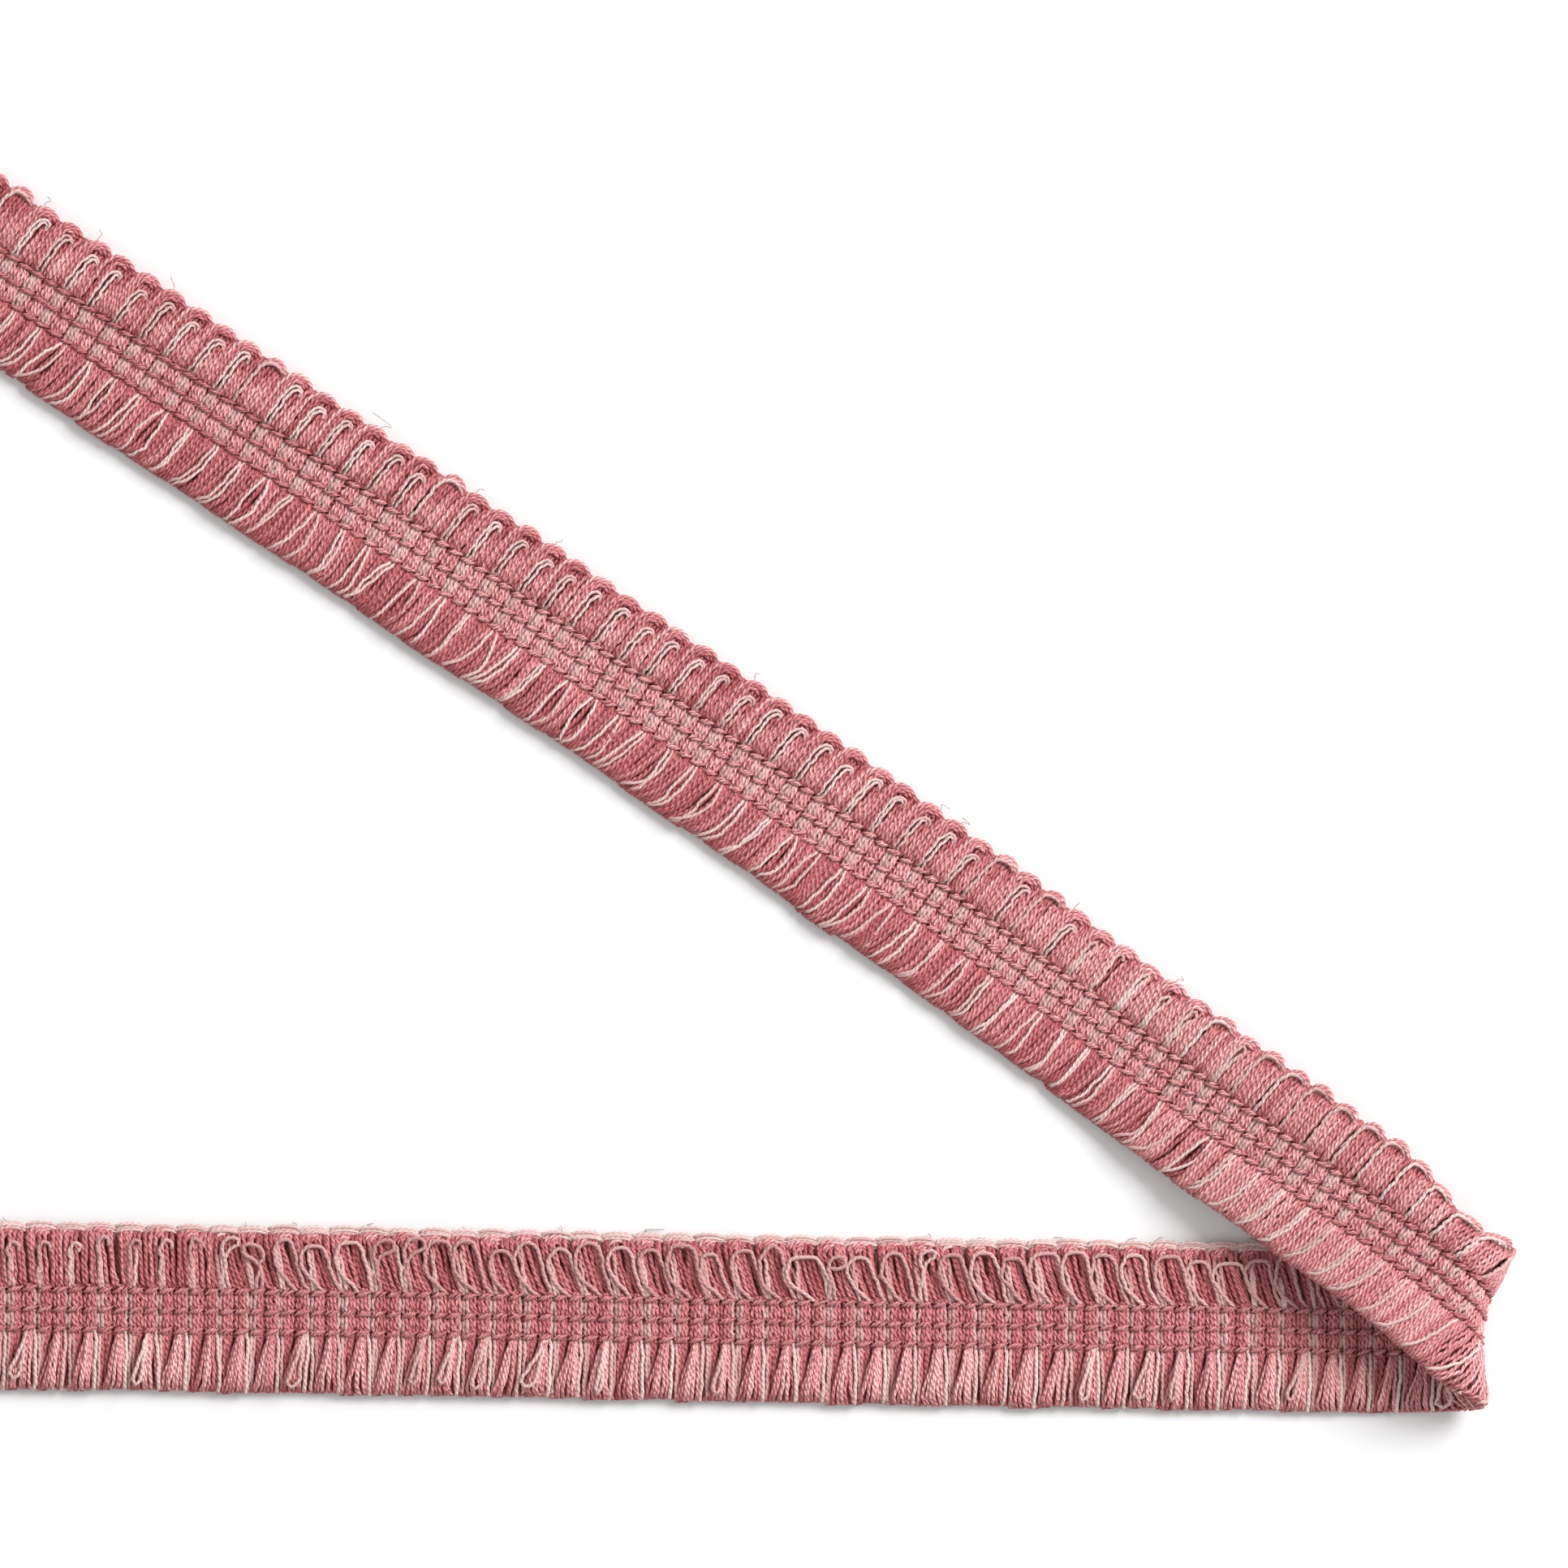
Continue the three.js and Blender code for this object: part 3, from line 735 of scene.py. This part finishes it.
        # Or two pale yarns side by side, which hook over together and dive into the lobe.
        radius = chance.uniform(0.95, 1.25)
        apart = chance.uniform(0.7, 0.95)
        hooks = [(0.75, 0.0), (0.75 - apart, 0.55)] if hooked else []
        for aside, inward in hooks:
            side = aside + noise(0.05)
            bow = radius - inward
            peak = top - 0.9 * inward
            points = [
                (side, ROOT, 1.0),
                (side + 0.05, 5.2, crown - 0.2),
                (side + 0.15, 8.0, crown + 0.25),
                (side, peak - bow, crown + 0.35),
                (side - 0.3 * bow, peak - 0.3 * bow, crown + 0.3),
                (side - bow, peak, crown + 0.2),
                (side - 1.7 * bow, peak - 0.3 * bow, crown),
                (side - 2.0 * bow, peak - bow - 0.1, crown - 0.25),
                (side - 2.0 * bow, peak - bow - 1.4, crown - 0.8),
                (side - 1.9 * bow, peak - bow - 2.4, crown - 1.3),
            ]
            # Painted shade as the yarns dive into the lobe.
            tone_and_shade = np.array([-0.3, 0, 0.1, 0.1, 0, -0.1, -0.3, -0.4, -0.6, -0.7]) + bright
            skein.lay(lean(points), FACE, "pale", tone_and_shade, 20, 5, LOBE_YARNS["hooked"])
    # Pink yarns beside the hairpin, shorter in the hollow under the arcs.
    for along in inner:
        place = along + noise(0.07)
        under_tip = centre + ARCH_ARCS[0]["rise"] * math.sqrt(1 - (along / LOBE_HALF_WIDTH) ** 2) - 0.5
        hollow = abs(along - (0.3 if plain else -1.0)) < 0.5 + 0.2 * far
        shorter = 0.6 + 1.3 * far if hollow else 0.2 * far
        end = min(under_tip, centre + (0.45 if plain else 0.9)) - shorter + noise(0.12)
        low = chance.uniform(0, 0.2)
        points = [
            (place * 0.95, ROOT, ROOT_HEIGHT),
            (place, 5.2, crown - 0.4 - low),
            (place, 8.0, crown - low),
            (place, end - 1.6, crown - 0.05 - low),
            (place - 0.1, end - 0.3, crown - 0.4 - low),
            (place - 0.2, end + 0.3, crown - 1.3),
        ]
        # Painted shade: a lower yarn is darker, and so are its root and its end, where it dives.
        bright = chance.uniform(0.4, 0.95) - low
        under = 0.35 * far  # it is darker below the arcs
        tone_and_shade = [bright - 0.25, bright, bright + 0.1, bright - under, bright - 0.15 - under, 0.2]
        skein.lay(lean(points), FACE, "pink", tone_and_shade, steps - 2)
    for along, depth, end in LOBE_DEPTHS:
        height = crown - depth
        points = [
            (along, ROOT, 0.5),
            (along, 6.0, height),
            (along, 9.5, height),
            (along, end - 0.7, height - 0.2),
            (along - 0.1, end, height - 0.9),
        ]
        # Painted shade: the deep yarns are dark.
        skein.lay(lean(points), FACE, "pink", chance.uniform(0.1, 0.35), 6, 4)
    if chance.random() < LOBE_SHARES["stray_fibre"] and not plain:
        # A stray fibre that stands out from the edge.
        at, out = chance.uniform(-2, 2), chance.uniform(0.7, 1.6)
        points = [
            (at, tip - 1.0, 1.2),
            (at + 0.3, tip + 0.2 * out, 1.3),
            (at + noise(0.8), tip + 0.7 * out, 1.6),
            (at + noise(1.4), tip + out, 1.2),
        ]
        skein.lay(lean(points), FACE, "pale", 0.7, 7, 3, LOBE_YARNS["stray_fibre"])
    if upper < 0.5:
        # The pale fuzz that peeps out beyond the tips.
        for rim in (14.1, chance.uniform(14.45, 14.65), chance.uniform(14.8, 15.1)):
            low, high = rim - 0.5, chance.uniform(0.4, 0.9)
            points = [
                (-2.9, low, 0.3),
                (-1.5, rim, high),
                (0, rim + 0.1, high),
                (1.5, rim, high),
                (2.9, low, 0.3),
            ]
            skein.lay(lean(points), BACK, "pale", chance.uniform(0.6, 1.0), 8, 4, LOBE_YARNS["fuzz"])


STRAIGHT_STRETCH = 47.0  # from the trim's start, where the windows have closed up
CURLED_STRETCH = 92.0  # up to here most pale yarns curl over at the top
CURL_SHARES = {"most": 0.6, "few": 0.06, "with_the_trim": 0.7}
WINDOW_OUTLINE = 0.7  # thickness


def arch_back_window(skein, loop):
    chance, noise = draws(loop, WINDOW_SEED)
    middle = bundle_places(loop)[0]
    upper = leg_share(middle)
    lean = leaning(middle, noise(0.2))
    steps = 12 if upper < 0.8 else 7
    corners = 5 if upper < 0.8 else 4
    closed = middle < STRAIGHT_STRETCH
    for along in CLOSING_YARNS["places"]:
        points = [(along, ROOT, 0.5), (along - 0.8, 8.5, 0.45), (along - 1.2, 13.4, 0.2)]
        skein.lay(lean(points), BACK, "pink", CLOSING_YARNS["tone_and_shade"], 3, 4, CLOSING_YARNS["thickness"])
    # Slanting pink yarns, deep inside the window, dark with painted shade, a little lighter in the closed
    # windows.
    for i in range(7):
        root = mix(-1.3, 3.9, i / 6) + noise(0.12)
        tip = root - (0.7 if closed else 3.0) + noise(0.3)
        deep = chance.uniform(0.6, 1.1) + (0.3 if closed else 0)
        points = [
            (root, ROW_PITCH + 0.3, 0.85),
            (mix(root, tip, 0.22), 5.4, deep + 0.1),
            (mix(root, tip, 0.6), 8.6, deep),
            (mix(root, tip, 0.95), 12.4, deep + 0.15),
            (tip, 14.0, 0.3),
            (tip, 13.5, -0.4),
        ]
        bright = chance.uniform(0.0, 0.5) + (0.12 if closed else 0)
        tone_and_shade = [bright - 0.1, bright, bright, bright + 0.05, bright, 0.1]
        skein.lay(lean(points), BACK, "pink", tone_and_shade, steps - 4, corners)
    # The wide pale yarn that outlines the window.
    high = chance.uniform(1.7, 2.05)
    top = chance.uniform(11.3, 13.2)
    left = -2.5 + noise(0.5)
    right = 1.5 + noise(0.6)
    root = 1.5 + noise(0.3)
    outline = [
        (root, ROOT, ROOT_HEIGHT),
        (mix(root, left, 0.35), 5.1 + noise(0.2), high - 0.1),
        (mix(root, left, 0.75), 6.6 + noise(0.4), high),
        (left + 0.1, 8.4, high + 0.15),
        (left + noise(0.2), top - 1.6, high + 0.1),
        (left + 0.7, top - 0.35, high),
        (mix(left, right, 0.5), top + chance.normal(0.1, 0.2), high + 0.05),
        (right - 0.5, top - 0.2, high),
        (right + 0.1, top - 1.5, high - 0.05),
        (right + 0.9 + noise(0.2), 8.0, high - 0.15),
        (right + 1.8, 5.4, high - 0.35),
        (4.0 + noise(0.2), ROOT, ROOT_HEIGHT),
    ]
    curled = CURL_SHARES["most"] if middle < CURLED_STRETCH else CURL_SHARES["few"]
    if not closed and chance.random() < curled:
        # A loose yarn curls over itself at the top before it turns back.
        size = chance.uniform(0.8, 1.4)
        way = 1 if chance.random() < CURL_SHARES["with_the_trim"] else -1
        outline = [
            (0.3 * way, ROOT, ROOT_HEIGHT),
            (0.1 * way, 5.6, high - 0.1),
            (-0.5 * way, 8.4 + noise(0.4), high),
            (way * (0.2 + noise(0.2)), top - 1.9 * size, high + 0.1),
            (way * 1.9 * size, top - 0.9 * size, high + 0.35),
            (way * 1.9 * size, top + 0.1, high + 0.45),
            (way * 0.7 * size, top + 0.35 * size, high + 0.4),
            (way * -0.7, top - 0.3 * size, high + 0.3),
            (way * -1.2, top - 1.6 * size, high + 0.25),
            (way * (-0.6 + noise(0.2)), 8.6, high),
            (way * (-0.8 + noise(0.2)), 6.0, high - 0.2),
            (-0.6 * way, ROOT, ROOT_HEIGHT),
        ]
    elif closed:
        outline = [
            (-0.9, ROOT, ROOT_HEIGHT),
            (-1.1 + noise(0.15), 6.0, high - 0.2),
            (-1.1 + noise(0.2), 9.0, high),
            (-1.2, top - 0.9, high + 0.2),
            (-0.4, top + 0.2, high + 0.3),
            (0.5, top - 0.2, high + 0.1),
            (0.7 + noise(0.2), top - 1.4, high - 0.3),
        ]
    skein.lay(lean(outline), BACK, "pale", chance.uniform(0.1, 0.6), steps * 2, corners, WINDOW_OUTLINE)
    # Straight pale yarns at the window's left.
    for i in range(2):
        root = -0.85 + 0.5 * i + noise(0.12)
        tip = root - (0.2 if closed else 1.3) + noise(0.35)
        end = chance.uniform(9.5, 13.0)
        points = [
            (root, ROOT, ROOT_HEIGHT),
            (mix(root, tip, 0.25), 5.2, 1.35),
            (mix(root, tip, 0.6), mix(4, end, 0.55), 1.45),
            (tip, end - 1.0, 1.2),
            (tip - 0.1, end, 0.5),
        ]
        # Painted shade towards the end, where a yarn dives.
        bright = chance.uniform(0.25, 0.75)
        tone_and_shade = [bright, bright, bright - 0.05, bright - 0.2, bright - 0.4]
        skein.lay(lean(points), BACK, "pale", tone_and_shade, steps - 4, corners)


for leg in LEG_LOOPS:
    lay_leg(leg, "arch_lobes", arch_face_lobe, "arch_loops", "arch_loops")
    lay_leg(leg, "arch_windows", arch_back_window, "arch_loops")

# The fan loops
#
# Along the other edge the same bundles spread like small fans before they turn back. On the back
# they stand as cones of glossy pink, each with a straight pale yarn, some with a hanging loop. On
# the face they slant along the trim, with pairs of pale yarns that bow apart on the pink.

CONE_SEED, SLANT_SEED = 41, 43
FAN_TIP = 14.2
FAN_YARNS = {"cone": 0.64, "pale_pair": 0.58, "pale_hook": 0.62, "deep": 1.1, "inside": 0.75}
HANGING_SHARE = 0.33
PILLOW_PLACE = 4.2  # from the loop's first bundle
PLAIN_PILLOW = {"yarns": 8, "start": -0.45, "spacing": 0.67}
CROWDED_PILLOW = {"yarns": 10, "start": 0.2, "spacing": 0.62}
CROWDED_LENGTH = 14  # to either side of the fold
STEADY_LENGTH = 150.0  # past the fold
# Painted shade along a slanting yarn: darker at the root and where it rolls under.
FAN_SLANT_PAINTED_SHADE = np.array([-0.2, 0, 0, 0, -0.1, -0.4, -0.6])
# The yarns that stand between two cones: root, end, height and tone, which holds painted shade for the
# lower ones.
BETWEEN_CONES = [
    (-0.85, -0.75, 1.0, 0.4), (-0.35, -0.2, 0.8, 0.2), (0.2, 0.3, 0.5, 0.1), (0.75, 0.85, 0.5, 0.05),
]


def fan_back_cone(skein, loop):
    chance, noise = draws(loop, CONE_SEED)
    first, second = bundle_places(loop)
    upper = leg_share(first)
    steps = 8 if upper < 0.8 else 5
    corners = 5 if upper < 0.8 else 4
    lean = leaning(second, chance.uniform(-1.3, -0.3))
    tip = FAN_TIP + noise(0.12)
    crown = chance.uniform(1.8, 2.2)
    curl = chance.normal(0.2, 0.6)
    for along in CLOSING_YARNS["places"]:
        points = [(along, -ROOT, 0.5), (along - 0.2, -8.5, 0.5), (along - 0.3, -tip + 0.9, 0.2)]
        skein.lay(lean(points), BACK, "pink", CLOSING_YARNS["tone_and_shade"], 3, 4, CLOSING_YARNS["thickness"])
    for i in range(7):
        share = i / 6
        rounding = 1 - (2 * share - 1) ** 2
        root = mix(-0.55, 0.25, share)
        end = mix(-2.4, 1.5, share) + noise(0.18)
        wander = noise(0.13)
        swell = 0.4 + 0.6 * rounding
        height = mix(1.1, crown, swell) + wander
        points = [
            (root, -ROOT, ROOT_HEIGHT),
            (mix(root, end, 0.15), -5.4, height),
            (mix(root, end, 0.5), -8.6, height),
            (mix(root, end, 0.9), -12.2, mix(1.0, crown, swell) + wander),
            (end + 0.3 * curl, -tip + 0.5, 0.9),
            (end + 0.9 * curl, -tip, 0.1),
            (end + 1.2 * curl, -tip + 0.4, -0.5),
        ]
        # Painted shade on the cone's outer yarns and at the tips, where they roll under.
        bright = chance.uniform(0.5, 1.1) - 0.25 * (1 - rounding)
        tone_and_shade = np.array([-0.1, 0, 0.05, 0, -0.3, -0.55, -0.6]) + bright
        skein.lay(lean(points), BACK, "pink", tone_and_shade, steps, corners, FAN_YARNS["cone"])
    end = 1.6 + noise(0.15)
    points = [
        (0.9, -ROOT, ROOT_HEIGHT),
        (1.2, -5.4, 1.5),
        (mix(1.2, end, 0.6), -9, 1.75),
        (end, -12.6, 1.6),
        (end, -tip, 0.4),
        (end, -tip + 0.3, -0.5),
    ]
    skein.lay(lean(points), BACK, "pale", chance.uniform(0.55, 0.95), steps, corners)
    upright = leaning(first, chance.uniform(-0.5, 0.1))
    pale_beside = "pale" if chance.random() < 0.45 else "pink"
    for kind, (root, end, height, tone_and_shade) in zip(("pale", pale_beside, "pink", "pink"), BETWEEN_CONES):
        end += noise(0.2)
        points = [
            (root, -ROOT, ROOT_HEIGHT),
            (mix(root, end, 0.3), -6, height),
            (mix(root, end, 0.7), -10.5, height),
            (end, -tip + 0.6, height - 0.3),
            (end, -tip, 0.1),
        ]
        # Painted shade towards the tip, where the yarn dives.
        tone_and_shade = np.array([0.2, 0.1, 0, -0.1, -0.3]) + tone_and_shade + noise(0.1)
        skein.lay(upright(points), BACK, kind, tone_and_shade, steps - 1, corners)
    if upper < 0.5 and chance.random() < HANGING_SHARE:
        # A pale yarn that hangs out of the cone as a loop of its own, narrow or wide.
        start, hang = chance.uniform(-0.5, 0.3), chance.uniform(11.8, 13.8)
        drift = chance.uniform(-2.2, -0.6)
        wide = chance.uniform(0.3, 1.3)
        points = [
            (start, -ROOT, 1.2),
            (start + 0.3 * drift - 0.2 * wide, -6.5, crown + 0.35),
            (start + 0.8 * drift - 0.8 * wide, -hang + 2.6, crown + 0.4),
            (start + drift - wide, -hang + 1.0, crown + 0.3),
            (start + drift - 0.1, -hang, crown + 0.2),
            (start + drift + wide, -hang + 1.0, crown + 0.3),
            (start + 0.8 * drift + 0.8 * wide, -hang + 2.8, crown + 0.45),
            (start + 0.3 * drift + 0.4 * wide, -6.5, crown + 0.2),
            (start + 0.3, -ROOT, 1.1),
        ]
        skein.lay(lean(points), BACK, "pale", chance.uniform(0.4, 0.85), 18, corners)


def fan_face_slant(skein, loop):
    chance, noise = draws(loop, SLANT_SEED)
    first, second = bundle_places(loop)
    upper = leg_share(first)
    past_fold = first - fold_place
    plain = PLAIN_STRETCH["start"] < past_fold < PLAIN_STRETCH["end"] + noise(6)
    steps = 10 if upper > 0.2 else 5
    corners = 5 if upper > 0.2 else 4
    # The slant grows steady near the fold and wavers slowly further on.
    sweep = float(np.clip(1 - past_fold / STEADY_LENGTH, 0, 1))
    slow = math.sin(loop * 0.7) * 0.5 + math.sin(loop * 0.23 + 1.0) * 0.5
    slant = mix(1.9 + 1.6 * slow, 2.6, sweep)
    lean_by = mix(0.4, slant, upper) + noise(0.25 if plain else 0.4)
    if not plain:
        bend = chance.uniform(1.4, 1.8)  # how late the yarns lean
    roll = chance.uniform(0.4, 1.1) * upper  # the tips turn along the edge as they roll under
    tip = FAN_TIP + noise(0.1 + 0.1 * upper)
    crown = mix(1.6, 2.0, upper) + noise(0.12)
    if plain:
        bend = chance.uniform(0.7, 1.15) * upper  # also how far the pale yarn hooks

    def lay(middle, root, end, height, kind, tone_and_shade, fineness, bulge=0.0, thickness=None):
        if kind == "pale":
            thickness = FAN_YARNS["pale_pair"]
        lean = leaning(middle, lean_by, bend)
        points = [
            (root, -ROOT, ROOT_HEIGHT),
            (mix(root, end, 0.2) + 0.5 * bulge, -5.4, mix(0.9, height, 0.85)),
            (mix(root, end, 0.55) + bulge, -8.8, height),
            (mix(root, end, 0.9) + 0.6 * bulge, -12.0, height - 0.1),
            (end + 0.1 + 0.5 * roll, -tip + 0.7, height - 0.45),
            (end + 0.15 + 1.4 * roll, -tip + 0.05, 0.4),
            (end + 0.15 + 2.0 * roll, -tip + 0.3, -0.6),
        ]
        skein.lay(lean(points), FACE, kind, FAN_SLANT_PAINTED_SHADE + tone_and_shade, fineness, corners, thickness)

    if plain:
        # One pale yarn hooks round a wide plain pillow of pink.
        lean = leaning(first, lean_by * 0.6)
        points = [
            (0.0, -ROOT, ROOT_HEIGHT),
            (0.1, -5.4, crown + 0.2),
            (0.3 * bend, -8.2, crown + 0.4),
            (1.0 * bend, -10.8, crown + 0.35),
            (2.1 * bend, -12.8, crown + 0.2),
            (3.6 * bend, -13.7, crown - 0.5),
            (4.4 * bend, -13.9, crown - 1.3),
        ]
        bright = chance.uniform(0.55, 0.95)
        skein.lay(lean(points), FACE, "pale", bright, steps + 3, corners, FAN_YARNS["pale_hook"])
        if chance.random() < 0.35:
            beside = [(along + 0.6, v, height - 0.1) for along, v, height in points[:5]]
            skein.lay(lean(beside), FACE, "pale", bright - 0.25, steps, corners)
        pillow = CROWDED_PILLOW if abs(past_fold) < CROWDED_LENGTH else PLAIN_PILLOW
        for i in range(pillow["yarns"]):
            root = pillow["start"] - i * pillow["spacing"] + noise(0.06)
            tone_and_shade = chance.uniform(0.4, 0.95)
            height = crown + noise(0.07)
            lay(first + PILLOW_PLACE, root, root - 0.1, height, "pink", tone_and_shade, steps)
        return
    # A deep layer, seen in the gaps between the yarns above it, dark with painted shade.
    for deep in (-2.3, -1.5, 0, 1.5, 2.3):
        tone_and_shade = chance.uniform(0.1, 0.35)
        lay(first, 0.85 * deep, deep, crown - 0.8, "pink", tone_and_shade, steps - 2, 0, FAN_YARNS["deep"])
    spread = chance.uniform(0.2, 1.4)
    leaf = spread if chance.random() < 0.55 else 0.15  # how far the pale pair bows before it closes
    bulge = noise(0.4)
    gap = chance.random() < 0.6
    for root, end, height, kind, side_bulge in (
        (-0.85, -0.9 * spread - 0.6, crown - 0.1, "pink", 0.0),
        (-0.3, -0.7 * (spread - 0.8 * leaf) - 0.2, crown + 0.15, "pale", bulge - 0.6 * leaf),
        (0.3, 0.7 * (spread - 0.8 * leaf) + 0.2, crown + 0.2, "pale", bulge + 0.8 * leaf),
        (0.85, 1.0 * spread + 0.6, crown - 0.1, "pink", 0.2),
    ):
        tone_and_shade = chance.uniform(0.6, 1.0) if kind == "pale" else chance.uniform(0.1, 0.6)
        stray = noise(0.9) if kind == "pale" else 0.0
        lay(first, root, end + stray, height, kind, tone_and_shade, steps, side_bulge)
    # Yarns inside the pair, lower and dark with painted shade.
    for inside in (-0.45, 0.0, 0.45):
        tone_and_shade = chance.uniform(0.0, 0.3)
        bow, thickness = 1.4 * inside * leaf, FAN_YARNS["inside"]
        lay(first, inside, inside + 0.1, crown - 0.5, "pink", tone_and_shade, steps - 2, bow, thickness)
    for i in range(4):
        share = i / 3
        root = mix(-0.9, 0.9, share)
        end = mix(-1.2, 1.2, share) + noise(0.2)
        # Some yarns lie lower, in a gap, and are darker with painted shade.
        low = gap and chance.random() < 0.7
        height = crown - 0.1 - (0.7 if low else 0) + noise(0.1)
        tone_and_shade = chance.uniform(0.0, 0.25) if low else chance.uniform(0.1, 0.65)
        lay(second, root, end, height, "pink", tone_and_shade, steps, noise(0.1))


for leg in LEG_LOOPS:
    lay_leg(leg, "fan_slants", fan_face_slant, "fan_loops", "fan_loops")
    lay_leg(leg, "fan_cones", fan_back_cone, "fan_loops")

# The surface, the light and the camera
#
# The trim lies on a plain white surface, in soft light from all round and from one broad lamp that
# stands high on the right, at the far side. The camera looks straight down from high up, so that
# both legs keep their true lie.

FLOOR_HALF = 3.0
VIEW_CENTRE = Vector((14.28, 2.02, 0)) * MM
VIEW_WIDTH = 276.5 * MM
SKY_STRENGTH = 0.7
KEY_LIGHT = {"place": (1.12, 0.68, 1.16), "size": 0.9, "power": 35}

floor_finish, shader, *_ = new_material("plain_white_surface")
shader.inputs["Base Color"].default_value = (0.8, 0.8, 0.8, 1)
shader.inputs["Roughness"].default_value = 0.9
shader.inputs["Specular IOR Level"].default_value = 0.1
floor_corners = np.array([(-1, -1, 0), (1, -1, 0), (1, 1, 0), (-1, 1, 0)]) * FLOOR_HALF
floor = mesh_piece("floor", floor_corners, [np.arange(4)[None]], [floor_finish])

world = bpy.data.worlds.new("soft_studio")
world.use_nodes = True
sky = world.node_tree.nodes["Background"]
sky.inputs["Color"].default_value = (1, 1, 1, 1)
sky.inputs["Strength"].default_value = SKY_STRENGTH
bpy.context.scene.world = world
bpy.context.scene.view_settings.view_transform = "Standard"

key_light = bpy.data.lights.new("key", "AREA")
key_light.size = KEY_LIGHT["size"]
key_light.energy = KEY_LIGHT["power"]
key = bpy.data.objects.new("key", key_light)
key.location = Vector(KEY_LIGHT["place"])
key.rotation_euler = (VIEW_CENTRE - key.location).to_track_quat("-Z", "Y").to_euler()
key.visible_camera = False
bpy.context.scene.collection.objects.link(key)

LENS, SENSOR = 600, 36
camera_data = bpy.data.cameras.new("camera")
camera_data.lens = LENS
camera_data.sensor_width = SENSOR
camera_data.clip_end = 100
camera = bpy.data.objects.new("camera", camera_data)
camera.location = VIEW_CENTRE + Vector((0, 0, VIEW_WIDTH * LENS / SENSOR))
bpy.context.scene.collection.objects.link(camera)
bpy.context.scene.camera = camera
